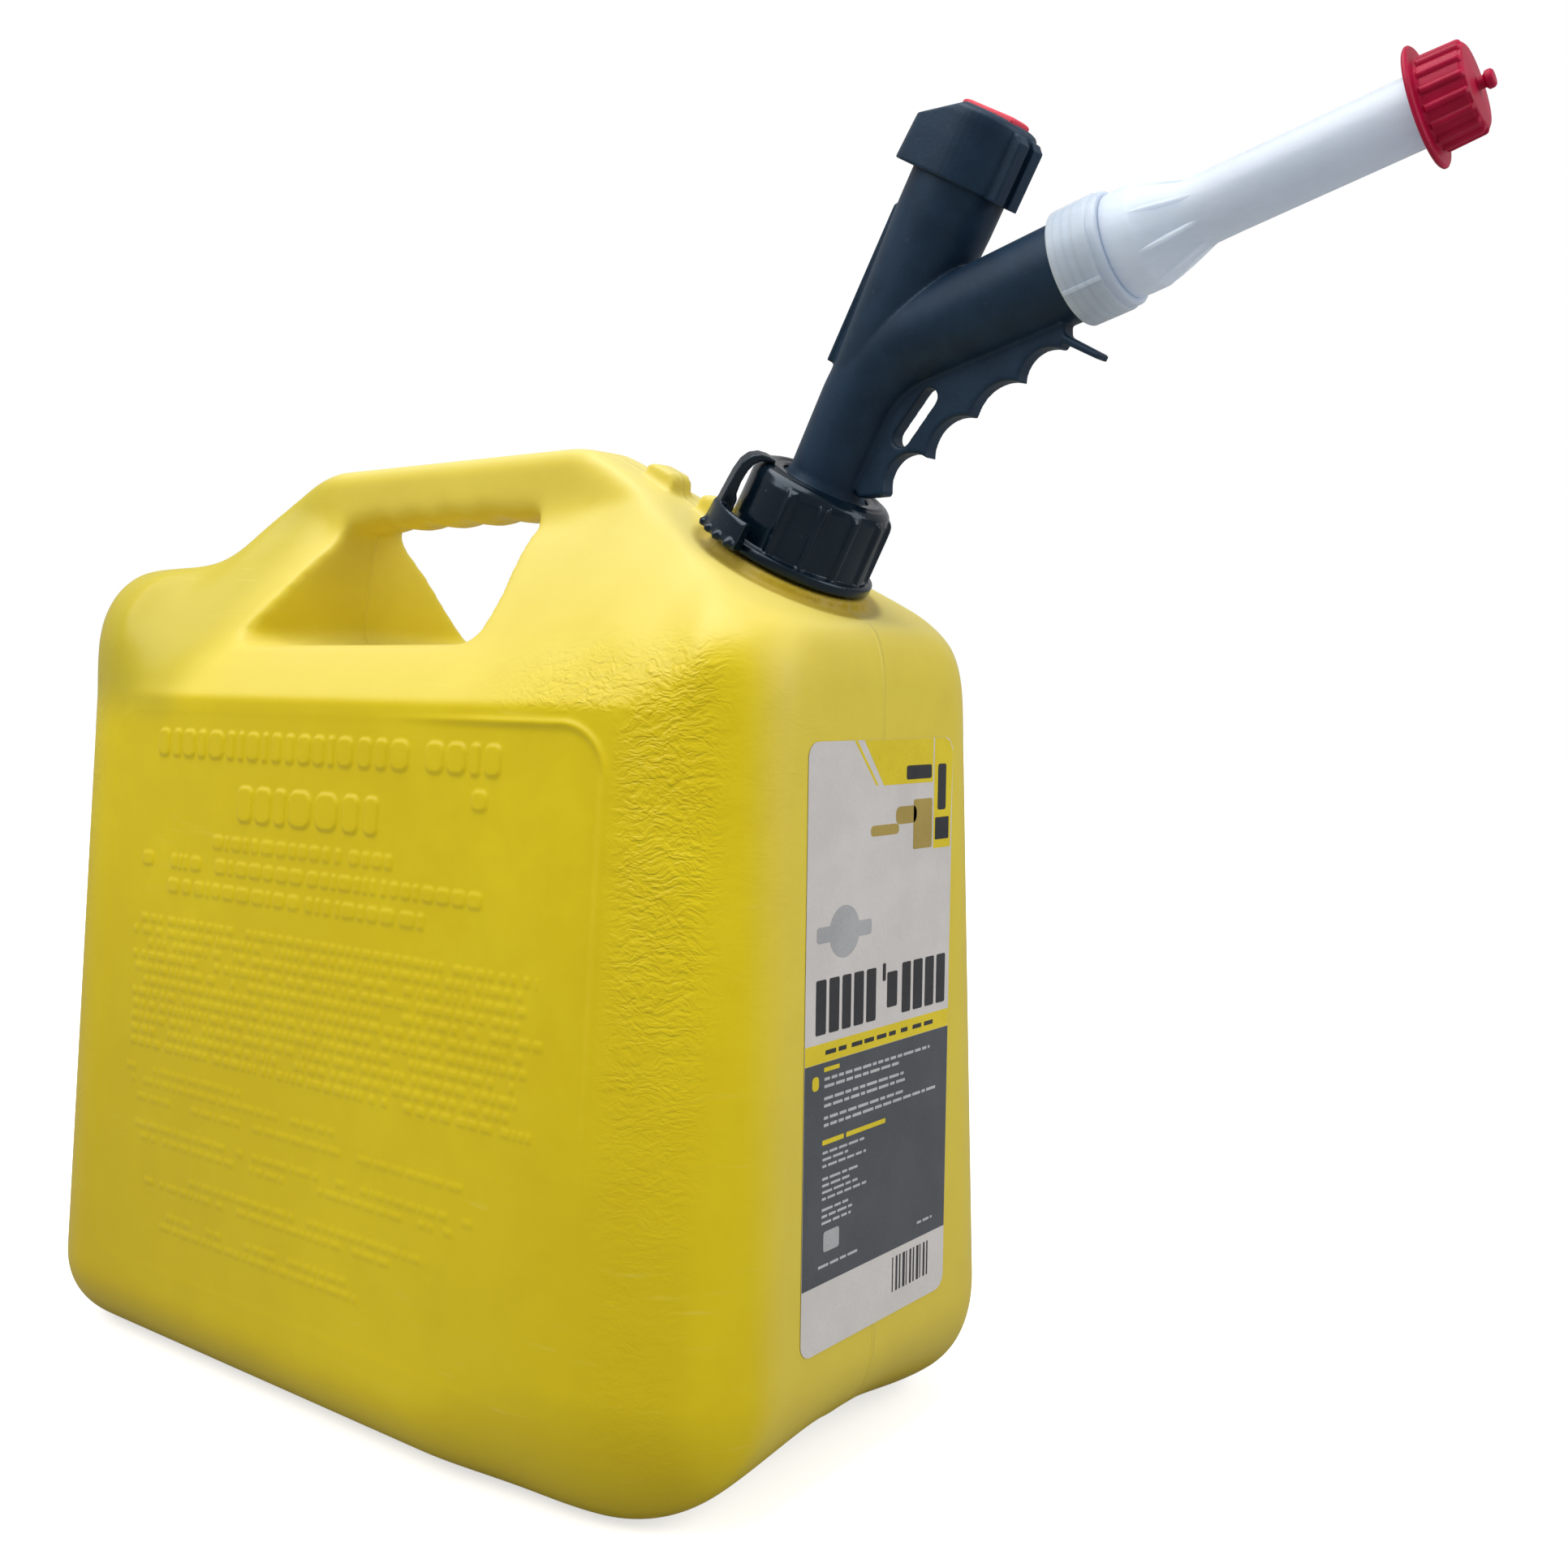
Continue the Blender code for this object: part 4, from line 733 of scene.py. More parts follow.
# ------------------------------------------------------------------ tank skin
# One row per station, rear to front: x, then eleven y,z pairs of the right half of the upper
# body, from the side wall at SHOULDER_Z up and in to the centre line.
SHOULDER = np.array([
    [-182, 41.7,262, 41.6,268, 41.4,275, 41,280, 40.4,283.5, 39.2,286,
     37,287.4, 34,288, 26,288, 13,288, 0,288],
    [-180.5, 53.5,262, 53.3,268, 53,275, 52.2,282, 50.8,287, 48.6,290.6,
     45.4,292.8, 41,294, 30,294.4, 15,294.4, 0,294.4],
    [-176, 64.4,262, 64.2,269, 63.8,278, 62.6,286.5, 60.2,293.4, 56.6,298.8,
     51.8,302, 45,303.6, 30,304, 15,304, 0,304],
    [-169, 73.8,262, 73.6,270, 73.2,280, 71.6,289, 68.4,297, 63.4,304,
     56.4,309, 47,311.4, 31,312, 15,312, 0,312],
    [-160, 81,262, 80.8,271, 80.2,281, 78.2,291, 74.2,299.6, 68.2,306.8,
     59.6,312.2, 48,314.6, 32,315, 15,315, 0,315],
    [-148, 86.2,262, 85.8,272, 85,282, 82.6,292, 78.2,301, 71.2,308.4,
     61.4,313.4, 49,315.2, 32,315.5, 15,315.5, 0,315.5],
    [-136, 87.7,262, 87.2,272, 86.2,282, 83.4,292, 78.4,301, 70.8,308.6,
     60,313.8, 47,315.6, 31,316, 15,316, 0,316],
    [-131, 87.7,262, 86.8,272, 85,282, 80.8,292, 74.2,301, 65.4,308.8,
     54.4,314.4, 43,317, 30,318, 15,318, 0,318],
    [-124, 87.7,262, 85.6,272, 81.6,283, 74.4,293.5, 64.8,303, 54,311,
     44.6,317.6, 37.8,322, 31,324.6, 16,325.6, 0,325.6],
    [-117, 87.7,262, 83.6,272, 77.6,283, 67.6,295, 56.2,306.4, 43.8,317.6,
     33.6,327.6, 27.2,334.4, 22.6,337.6, 13,339, 0,339],
    [-106, 87.7,262, 80.2,272.6, 71.4,283, 57.2,298, 43.4,312, 29.8,324.6,
     21.4,335, 17.4,344.8, 14.6,349.4, 9,351.2, 0,351.2],
    [-96, 87.7,262, 77.8,273, 66.8,283, 50.2,300, 34.4,316, 22.6,328,
     17.2,337.6, 15.4,349, 13.6,353.4, 9,355.2, 0,355.2],
    [-88, 87.7,262, 76.4,273, 64.8,283, 47.4,300, 30.6,317, 17.6,329,
     15.4,336, 15,350.4, 13.2,354.6, 9,356.6, 0,356.6],
    [46, 87.7,262, 76.2,273, 64.6,283, 47.2,300, 30.4,317, 17.6,329,
     15.4,336, 15,350.4, 13.2,354.6, 9,356.6, 0,356.6],
    [56, 87.7,262, 76.2,273, 64.8,283, 47.8,300, 31.2,317, 18.6,329,
     16.2,335, 15.4,348.4, 13.6,353.2, 9,355.6, 0,355.6],
    [62, 87.7,262, 76.3,273, 65.2,283, 48.8,300, 32.4,317, 19.8,329,
     17,334, 15.8,346.2, 13.8,351, 9,353, 0,353],
    [85.5, 87.7,262, 77.6,273, 68,283, 52.4,300, 37,316, 25.6,328,
     21,333.6, 18.2,338, 15,340, 9,341, 0,341],
    [112, 87.6,262, 80,273, 71.2,283, 58,298, 46.6,309, 37.4,316.8,
     33,320.4, 29.6,323, 24,324.5, 12,325, 0,325],
    [125, 86,262, 80.4,272, 72.8,283, 60.4,296, 50.6,305, 43.6,311.2,
     40.2,314.2, 37,316.4, 30,317.4, 15,317.6, 0,317.6],
    [141, 83.2,262, 79.4,270.6, 73.4,280, 64.4,290, 55.8,298.4, 48.8,304,
     45.4,306.4, 42,307.9, 34,308.6, 15,308.8, 0,308.8],
    [160, 75,262, 74.4,269, 73,276, 70.2,282, 65.4,287.6, 59.6,292.2,
     54.6,295, 48.6,297, 36,298.2, 16,298.4, 0,298.4],
    [170, 67.4,262, 67,268, 66.2,274, 64.4,279, 60.6,284, 54.2,288.2,
     49,290.6, 44,292, 32,292.8, 15,292.8, 0,292.8],
    [177, 59,262, 58.6,266.5, 57.6,271, 55.6,275.6, 52.2,280, 47.6,284,
     43.6,286, 39,287.4, 29,288.2, 14,288.4, 0,288.4],
    [180.6, 51.4,262, 51.2,265, 50.6,268, 49.6,271, 47.8,274, 45,276.8,
     42.4,278.4, 38.6,279.6, 29,280.4, 14,280.6, 0,280.6],
    [182, 44,262, 43.9,264, 43.5,266, 42.7,268, 41.2,269.8, 39.2,271,
     37,271.8, 33.6,272.4, 25,272.6, 12,272.6, 0,272.6],
], float)


def curve_through(knots, values, at):
    """Monotone cubic curves through rows of values."""
    gaps = np.diff(knots)[:, None]
    slopes = np.diff(values, axis=0) / gaps
    tangents = np.zeros_like(values)
    tangents[0], tangents[-1] = slopes[0], slopes[-1]
    same_sign = slopes[:-1] * slopes[1:] > 0
    before, after = 2 * gaps[1:] + gaps[:-1], gaps[1:] + 2 * gaps[:-1]
    # Where a slope is zero the mean divides by zero; those entries are replaced by zero.
    with np.errstate(divide="ignore", invalid="ignore"):
        mean = (before + after) / (before / slopes[:-1] + after / slopes[1:])
    tangents[1:-1] = np.where(same_sign, np.nan_to_num(mean), 0.0)
    i = np.clip(np.searchsorted(knots, at) - 1, 0, len(knots) - 2)
    t = ((at - knots[i]) / gaps[i, 0])[:, None]
    return (
        (2 * t**3 - 3 * t**2 + 1) * values[i]
        + (t**3 - 2 * t**2 + t) * gaps[i] * tangents[i]
        + (-2 * t**3 + 3 * t**2) * values[i + 1]
        + (t**3 - t**2) * gaps[i] * tangents[i + 1]
    )


def quarter(distance, reach, depth):
    """How far a quarter ellipse lies inside its corner, at a distance from the end wall."""
    if distance >= reach:
        return 0.0
    left = 1.0 - max(distance, 0.0) / reach
    return depth * (1.0 - math.sqrt(max(1.0 - left * left, 0.0)))


def side_wall(x, z):
    front, rear = TANK_LENGTH / 2 - x, x + TANK_LENGTH / 2
    leaning = TANK_WIDTH / 2 - SIDE_LEAN * z
    return leaning - quarter(front, 72.0, 45.0) - quarter(rear, 46.0, 46.0)


def tank_section(x):
    """The tank's closed outline at x: up the +Y side from the foot, and down the other."""
    front, rear = TANK_LENGTH / 2 - x, x + TANK_LENGTH / 2
    blend = min(max((x - 60.0) / 60.0, 0.0), 1.0)
    # The foot's corner is 28 wide, and 28 high at the rear but 46 high at the front.
    depth = 28.0 + 18.0 * blend * blend * (3 - 2 * blend)
    lift = quarter(front, 50.0, 46.0) + quarter(rear, 28.0, 28.0)
    rise = max(depth - lift, 0.6)
    run = max(28.0 * rise / depth, 0.6)
    half = [(0.0, lift)]
    corner_steps = 10
    for k in range(corner_steps + 1):
        angle = math.pi / 2 * k / corner_steps
        inner = side_wall(x, lift + rise) - run
        half.append((inner + run * math.sin(angle), lift + rise - rise * math.cos(angle)))
    row = curve_through(SHOULDER[:, 0], SHOULDER[:, 1:], np.array([x]))[0].reshape(-1, 2)
    if abs(x) < 181.9:
        row[0, 0] = side_wall(x, SHOULDER_Z)
    spans = len(row) - 1
    finer = np.linspace(0.0, float(spans), 5 * spans + 1)
    half += [tuple(p) for p in curve_through(np.arange(len(row), dtype=float), row, finer)]
    right = [(x, max(y, 0.0), z) for y, z in half]
    return right + [(x, -y, z) for x, y, z in right[1:-1][::-1]]


# Stations crowd towards both ends.
count = 120
stations = [TANK_LENGTH / 2 * math.sin(math.pi / 2 * (2 * k / count - 1)) for k in range(count + 1)]
tank = loft("tank_skin", [tank_section(x) for x in stations])


# The hand opening, less the grip bar with its finger hollows.
def opening_rear(z):
    return -90.0 + 10.0 * (z - 283.0) / 48.0


def grip_section(x):
    """A rounded oblong section of the grip bar."""
    hollow = 2.2 * math.sin(math.pi * ((x + 72.0) % 21.5) / 21.5) ** 2 if -72.0 < x < 14.0 else 0.0
    low, high = 331.0 + hollow, TANK_HEIGHT + 1.4
    ring = []
    for i in range(32):
        angle = 2 * math.pi * i / 32
        across = math.copysign(abs(math.cos(angle)) ** 0.55, math.cos(angle))
        up = math.copysign(abs(math.sin(angle)) ** 0.55, math.sin(angle))
        ring.append((x, 15.6 * across, (high + low) / 2 + (high - low) / 2 * up))
    return ring


opening = prism(
    "opening",
    [
        (opening_rear(282.0) + 6, 282.0), (45.0, 282.0), (50.0, 284.0), (48.4, 290.0),
        (45.2, 300.0), (41.0, 309.0), (37.0, 319.0), (34.2, 331.0), (34.0, 372.0),
        (opening_rear(372.0), 372.0), (opening_rear(288.0), 288.0),
    ],
    140.0,
)
cut(opening, loft("grip", [grip_section(-104.0 + 2.0 * k) for k in range(83)]))
cut(tank, opening)

# The seat under the collar, its threaded neck, and the two lugs on the centre line.
seat = [(0.0, -4.5), (35.0, -4.5), (38.0, -1.5), (38.0, 30.0), (0.0, 30.0)]
cut(tank, lathe("seat_cut", seat, NECK))
neck_profile = [
    (0.0, -16.0), (22.0, -16.0), (30.0, -5.5), (29.6, -1.4), (29.0, -1.0), (NECK_R + 0.4, -1.0),
    (NECK_R, 0.0), (NECK_R, 21.4), (NECK_R - 0.6, 22.0), (0.0, 22.0),
]
neck = lathe("neck", neck_profile, NECK)
join(neck, thread("neck_thread", NECK_R, 2.0, start=7.0, depth=1.7, where=NECK, **NECK_THREAD))
lug_a = [(79.0, 338.0), (91.5, 332.0), (93.2, 342.6), (91.4, 345.2), (82.2, 349.6), (79.4, 348.6)]
lug_b = [
    (103.2, 326.0), (113.0, 318.0), (114.4, 332.8), (112.8, 335.2), (106.0, 336.8), (103.4, 335.4)
]
join(tank, neck, prism("lug_a", lug_a, 5.4), prism("lug_b", lug_b, 4.6))
cut(tank, cylinder("neck_bore", 17.8, -46.0, 30.0, NECK))
# A shallow arch across the foot at each end.
for end in (-1, 1):
    arch_frame = frame_at((end * 150.0, 0.0, -57.0), (0, 1, 0), (end, 0, 0))
    cut(tank, cylinder("arch", 60.0, 0.0, 62.0, arch_frame))
reskin(tank, size=1.25, rounds=1)

# Soft edges everywhere but at the neck, which keeps its thread; the lugs soften a little.
points = read_vectors(tank.data, "co") / MM
x, y, z = points.T
neck_axes = np.array([tuple(NECK_FRONT), (0, 1, 0), tuple(NECK_AXIS)])
local = (points - np.array(NECK_BASE)) @ neck_axes.T
near_neck = (np.hypot(local[:, 0], local[:, 1]) < 32.0) & (local[:, 2] > -6.5)
near_lug = (np.abs(y) < 8.0) & (x > 77.0) & (x < 117.0) & (z > 326.0) & (local[:, 2] > -4.0)
softness = np.where(near_neck, 0.08, np.where(near_lug, 0.30, 1.0))
relax(tank, 11, softness)
# The rim of the hand opening is rolled over further.
at_rim = (
    smoothstep(x, -112.0, -100.0)
    * smoothstep(-x, -64.0, -54.0)
    * smoothstep(z, 272.0, 279.0)
    * smoothstep(-z, -343.0, -333.0)
    * smoothstep(-np.abs(y), -74.0, -66.0)
)
relax(tank, 22, at_rim)


def in_side_panel(face):
    centre = face.calc_center_median()
    return abs(face.normal.y) > 0.93 and abs(centre.x) < 0.142 and 0.034 < centre.z < 0.2615


def refine_panels(obj):
    """Splits the faces of the two side panels, so that their relief is sharp."""
    bm = bmesh.new()
    bm.from_mesh(obj.data)
    chosen = [f for f in bm.faces if in_side_panel(f)]
    edges = list({e for f in chosen for e in f.edges})
    bmesh.ops.subdivide_edges(bm, edges=edges, cuts=1, use_grid_fill=True)
    bm.to_mesh(obj.data)
    bm.free()


refine_panels(tank)

# ------------------------------------------------------------------ relief of the side panels
# Rows of large dashes: z, half height, (start x, end x), (least, most width), gap, lift,
# share of dashes left out, share of wide gaps.
LARGE_ROWS = [
    (243.4, 5.3, (-101.0, 52.0), (3.0, 9.5), 2.1, 0.70),
    (243.4, 5.3, (57.0, 93.0), (3.0, 9.5), 2.1, 0.70),
    (221.8, 6.7, (-47.0, 38.0), (6.0, 13.0), 2.6, 0.76),
    (206.6, 2.6, (-62.0, 42.0), (2.2, 7.5), 1.4, 0.48, 0.05, 0.12),
    (197.4, 2.7, (-108.0, 90.0), (2.2, 8.0), 1.4, 0.48, 0.05, 0.14),
    (188.0, 2.7, (-90.0, 62.0), (2.2, 8.0), 1.4, 0.48, 0.05, 0.14),
]
# The lowest rows: z, start x, end x.
LOW_ROWS = [
    (114.8, -112.0, -36.0), (110.0, -108.0, 20.0), (103.6, -104.0, 88.0),
    (93.0, -104.0, 92.0), (88.2, -100.0, 96.0), (76.0, -66.0, 70.0),
    (71.4, -96.0, 52.0), (60.0, -80.0, 30.0), (55.6, -84.0, 36.0),
]


def rounded_box(x, z, centre_x, centre_z, half_x, half_z, radius):
    """Signed distance to a rounded rectangle."""
    out_x, out_z = np.abs(x - centre_x) - (half_x - radius), np.abs(z - centre_z) - (half_z - radius)
    outside = np.hypot(np.maximum(out_x, 0), np.maximum(out_z, 0))
    return outside + np.minimum(np.maximum(out_x, out_z), 0) - radius


def dash_row(z, half, ends, widths, gap, lift, broken=0.0, apart=0.0):
    """A row of plain dashes: (z, half height, lift, [(centre, half width), ...])."""
    dashes = []
    x, end = ends
    while x < end - widths[0] * 0.5:
        width = min(rng.uniform(*widths), end - x)
        if rng.random() >= broken:
            dashes.append((x + width / 2, width / 2))
        x += width + gap * rng.uniform(0.7, 1.5) * (2.4 if rng.random() < apart else 1.0)
    return z, half, lift, dashes


def dash_rows():
    rows = [(230.0, 3.4, 0.6, [(84.0, 3.6)])]
    rows += [dash_row(*row) for row in LARGE_ROWS]
    z = 174.0
    while z > 122.0:
        ends = (-112.0 + rng.uniform(0.0, 3.0), 119.0 - rng.uniform(0.0, 12.0))
        rows.append(dash_row(z, 1.5, ends, (1.5, 5.6), gap=1.1, lift=0.32, broken=0.07, apart=0.22))
        z -= 4.9
    for z, start, end in LOW_ROWS:
        rows.append(dash_row(z, 1.25, (start, end), (1.8, 8.0), gap=1.2, lift=0.22, broken=0.14))
    return rows


def add_relief(obj):
    """A framed recess with raised dashes on both sides, and an arched foot at the front."""
    points = read_vectors(obj.data, "co")
    normals = read_vectors(obj.data, "normal")
    x, z = points[:, 0] / MM, points[:, 2] / MM
    flat = (np.abs(normals[:, 1]) > 0.9) & (z > 20.0) & (z < 268.0) & (np.abs(x) < 160.0)
    edge = rounded_box(x, z, 2.0, 147.0, 134.5, 109.6, 17.0)
    # The panel is sunk and edged towards the front, and runs out flush at the rear and the foot.
    show = smoothstep(x, 30.0, 104.0) * smoothstep(z, 96.0, 190.0)
    height = -0.42 * smoothstep(-edge, 0.2, 3.4) * (0.12 + 0.88 * show)
    height += 0.66 * np.exp(-(((edge + 0.2) / 1.25) ** 2)) * (0.05 + 0.95 * show)
    base = height.copy()
    for row_z, half, lift, dashes in dash_rows():
        row = np.flatnonzero(flat & (np.abs(z - row_z) < half + 2.0))
        row_x = x[row]
        for centre, half_width in dashes:
            pick = row[np.abs(row_x - centre) < half_width + 2.0]
            radius = min(half, half_width) * 0.7
            away = rounded_box(x[pick], z[pick], centre, row_z, half_width, half, radius)
            raised = base[pick] + lift * smoothstep(-away, -0.75, 0.95)
            height[pick] = np.maximum(height[pick], raised)
    # The wall breathes a little, as thin moulded walls do.
    wave = 0.30 * np.sin(x / 41.0 + 0.7) * np.cos(z / 57.0 + 0.3)
    wave += 0.16 * np.sin(x / 19.0 + z / 23.0)
    inside = smoothstep(150.0 - np.abs(x), 0.0, 40.0)
    inside = inside * smoothstep(z, 24.0, 60.0) * smoothstep(264.0 - z, 0.0, 30.0)
    height = np.where(flat, height + wave * inside, 0.0)
    points = points + normals * height[:, None] * MM
    # The foot of the front face arches up between its corners, with a nub on the centre line.
    x, y, z = points.T / MM
    low_front = smoothstep(x, 96.0, 168.0) * (1.0 - smoothstep(z, 2.0, 50.0))
    arch = 6.0 * (1.0 - smoothstep(np.abs(y), 10.0, 66.0)) * low_front
    nub = 1.8 * np.exp(-((y / 2.2) ** 2))
    nub = nub * smoothstep(x, 150.0, 176.0) * (1.0 - smoothstep(z, 6.0, 14.0))
    points[:, 2] += (arch - nub) * MM
    write_points(obj.data, points)


add_relief(tank)
finish_piece(tank, yellow, "tank", "tank_body")

# ------------------------------------------------------------------ front label
# Outlines are (y, z), counterclockwise seen from the front.
LABEL_X = 182.16
LABEL_CENTRE_Y, LABEL_HALF = 1.0, 43.2
LABEL_Y0, LABEL_Y1 = LABEL_CENTRE_Y - LABEL_HALF, LABEL_CENTRE_Y + LABEL_HALF
LABEL_Z0, LABEL_Z1 = 52.6, 251.6
PRINT_TOP = LABEL_Z1 - 0.05


def flat_shapes(name, shapes, material, lift):
    """Flat polygons laid lift millimetres in front of the face, with turned-back edges."""
    verts, faces = [], []
    for outline in shapes:
        base, size = len(verts), len(outline)
        for x in (LABEL_X + lift, LABEL_X + lift - 0.12):
            verts += [(x * MM, y * MM, z * MM) for y, z in outline]
        faces.append(list(range(base, base + size)))
        for i in range(size):
            j = (i + 1) % size
            faces.append([base + j, base + i, base + size + i, base + size + j])
    mesh = bpy.data.meshes.new(name)
    mesh.from_pydata(verts, [], faces)
    obj = add_object(name, mesh)
    mesh.materials.append(material)
    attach(obj, "tank")
    return obj


def bar(y0, y1, z0, z1, radius=0.3, steps=4):
    """A rectangle with rounded corners."""
    radius = min(radius, (y1 - y0) / 2, (z1 - z0) / 2)
    left, right, low, high = y0 + radius, y1 - radius, z0 + radius, z1 - radius
    out = []
    for y, z, start in ((right, high, 0), (left, high, 90), (left, low, 180), (right, low, 270)):
        for k in range(steps + 1):
            angle = math.radians(start + 90 * k / steps)
            out.append((y + radius * math.cos(angle), z + radius * math.sin(angle)))
    return out


def title_blocks(y, widths, top):
    """Upright blocks in a row that take the place of a title; they are not letters."""
    blocks = []
    for width in widths:
        blocks.append(bar(y, y + width, 157.4, top, 0.7))
        y += width + 1.7
    return blocks


def text_lines(y0, y1, heights, thickness, ragged):
    """Rows of dashes in place of text, their right ends uneven by up to ragged."""
    dashes = []
    for z in heights:
        end = y1 - rng.uniform(0.0, ragged)
        y = y0
        while y < end - 1.0:
            width = min(rng.uniform(2.2, 6.5), end - y)
            dashes.append(bar(y, y + width, z - thickness / 2, z + thickness / 2, 0.25))
            y += width + 0.9
    return dashes


sheet = bar(LABEL_Y0, LABEL_Y1, LABEL_Z0, LABEL_Z1, radius=5.2, steps=8)
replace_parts(flat_shapes("label_sheet", [sheet], white_film, 0.10), "front_label")
yellow_parts = [
    [(-11.6, PRINT_TOP), (0.4, 236.2), (31.2, 236.2), (31.2, 249.8), (31.2, PRINT_TOP)],
    [(-17.2, PRINT_TOP), (-4.2, 236.4), (-2.9, 236.4), (-15.6, PRINT_TOP)],
    [
        (32.0, PRINT_TOP), (32.0, 212.8), (LABEL_Y1 - 1.0, 212.8), (LABEL_Y1 - 0.1, 244.0),
        (LABEL_Y1 - 0.1, 246.4), (LABEL_Y1 - 1.7, 250.0), (LABEL_Y1 - 5.2, PRINT_TOP),
    ],
    bar(LABEL_Y0 + 0.1, LABEL_Y1 - 0.1, 148.2, 154.5, 0.05),
]
flat_shapes("label_yellow_print", yellow_parts, yellow_film, 0.14)
slate = bar(LABEL_Y0 + 0.1, LABEL_Y1 - 0.1, 75.2, 148.1, 0.05)
flat_shapes("label_slate_print", [slate], slate_film, 0.14)

ink = title_blocks(-36.6, (5.6, 5.6, 5.0, 5.6, 5.6), top=175.2)
ink += [bar(1.6, 3.4, 170.0, 176.0, 0.5), bar(4.4, 10.6, 160.5, 172.6, 0.7)]
ink += title_blocks(13.6, (5.4, 5.9, 5.7, 5.7), top=174.8)
ink += [
    bar(14.2, 30.2, 237.6, 242.4, 0.9),
    bar(34.4, 39.8, 226.2, 242.4, 1.0),
    bar(33.0, 42.0, 215.8, 223.6, 0.4),
]
# A row of upright stripes near the foot, and dashes on the yellow band.
for k in range(11):
    y = 10.6 + 2.2 * k
    ink.append(bar(y, y + (0.55, 1.1, 0.8, 1.4)[k % 4], 60.2, 72.4, 0.05))
for k in range(9):
    y = -31.0 + 7.4 * k
    ink.append(bar(y, y + rng.uniform(3.6, 6.2), 150.5, 152.0))
flat_shapes("label_ink_print", ink, ink_film, 0.19)

picture = [
    bar(19.0, 31.0, 213.4, 230.6, 0.8),
    bar(-7.0, 10.0, 219.4, 223.0, 1.6),
    bar(8.0, 21.0, 222.6, 228.6, 2.4),
]
flat_shapes("label_tan_print", picture, tan_film, 0.15)
grey_bars = [bar(-36.6, -5.6, 187.0, 192.2, 1.2), bar(-30.6, -21.8, 85.4, 92.2, 1.0)]
flat_shapes("label_grey_print", grey_bars, grey_film, 0.16)
angles = np.linspace(0, 2 * math.pi, 49)[:-1]
disc = [(-21.2 + 8.6 * math.cos(a), 189.6 + 8.6 * math.sin(a)) for a in angles]
flat_shapes("label_disc_print", [disc], grey_film, 0.155)

lines = []
upper = (142.6, 140.2, 136.2, 133.8, 129.8, 127.4)
lower = (118.4, 116.2, 114.0, 109.8, 107.6, 105.4, 103.2, 99.6, 97.4, 95.2)
lines += text_lines(-31.4, 38.0, upper, thickness=1.0, ragged=26.0)
lines += text_lines(-31.8, -6.0, lower, thickness=0.85, ragged=12.0)
lines += text_lines(-33.4, -10.0, (81.0,), thickness=0.9, ragged=0.5)
lines += text_lines(26.0, 36.0, (80.6,), thickness=0.9, ragged=0.5)
line_film = film("label_line", low=(0.40, 0.405, 0.42), high=(0.48, 0.485, 0.50))
flat_shapes("label_line_print", lines, line_film, 0.19)
marks = [
    bar(-38.0, -34.4, 139.6, 144.2, 1.4),
    bar(-31.6, -23.0, 145.0, 146.4),
    bar(-32.0, -20.0, 121.0, 122.6),
    bar(-18.6, 4.6, 121.0, 122.6),
]
flat_shapes("label_mark_print", marks, yellow_film, 0.19)

# ------------------------------------------------------------------ collar
# Radius, height, corner radius: up the outside, over the top and down the bore.
collar_profile = [
    (FLANGE_R, 0.2, 0.3), (FLANGE_R, 3.2, 0.5), (FLANGE_R - 0.6, 3.8, 0.4),
    (COLLAR_R + 0.7, 4.0, 0.5), (COLLAR_R + 0.4, 4.6), (COLLAR_R, 15.0),
    (COLLAR_R - 0.2, 24.6, 1.5), (COLLAR_R - 1.0, 27.2, 1.5), (COLLAR_R - 2.6, 28.6, 1.2),
    (COLLAR_R - 4.0, 28.9, 0.3), (COLLAR_R - 4.6, 29.4, 0.4), (COLLAR_R - 6.4, 29.4, 0.4),
    (COLLAR_R - 7.0, 28.9, 0.3), (16.2, 28.8, 0.3), (15.4, 28.2, 0.2), (15.4, 27.9, 0.1),
    (22.8, 27.9), (COLLAR_BORE, 27.4), (COLLAR_BORE, 2.0), (24.4, 0.2, 0.2),
]
# Height and how far the rib stands out there.
rib_stations = (
    (3.9, 1.5), (10.0, 1.45), (20.0, 1.35), (23.0, 1.25), (24.6, 0.95), (25.6, 0.35), (26.2, -0.4)
)
rib_rings = []
for z, out in rib_stations:
    half = [(-1.2, -1.9), (-0.1, -1.7), (out * 0.75, -1.15), (out, -0.55)]
    rib_rings.append([(COLLAR_R + offset, y, z) for offset, y in mirrored(half)])
collar = lathe("collar_skin", rounded(collar_profile, 0.4), NECK, 144)
for k in range(10):
    join(collar, loft("rib", rib_rings, turned(NECK, 285.0 + 27.0 * k)))
join(
    collar,
    thread("collar_thread", COLLAR_BORE, 1.5, start=9.0, depth=-1.8, where=NECK, **NECK_THREAD),
)
reskin(collar, size=0.36, rounds=3)
finish_piece(collar, gloss, "collar", "collar_nut")

# ------------------------------------------------------------------ lock lever
# A bent strap over the collar's shoulder, on a toothed foot that follows the flange.
strap = [
    (20.4, 29.0), (20.4, 30.5), (23.0, 30.9), (26.0, 30.7), (28.8, 29.2), (30.7, 26.4),
    (31.7, 22.0), (32.3, 16.0), (33.0, 9.0), (27.6, 9.0), (27.5, 13.6), (28.5, 15.4),
    (28.6, 20.0), (28.0, 23.8), (26.8, 26.8), (25.0, 28.5), (22.6, 29.0),
]
lever = prism("lever_skin", strap, 3.1, turned(NECK, 234.0))
foot = []
for k in range(43):
    angle = math.radians(-21.0 + k)
    tooth = 1.5 * max(0.0, math.cos((k - 4.7) / 10.5 * 2 * math.pi)) ** 0.7
    section = (
        (29.6, 1.2), (34.2 + tooth, 0.8), (34.8 + tooth, 2.6), (34.2, 4.4),
        (33.6, 10.4), (32.6, 11.2), (30.4, 10.6), (29.9, 4.6),
    )
    foot.append([(r * math.cos(angle), r * math.sin(angle), z) for r, z in section])
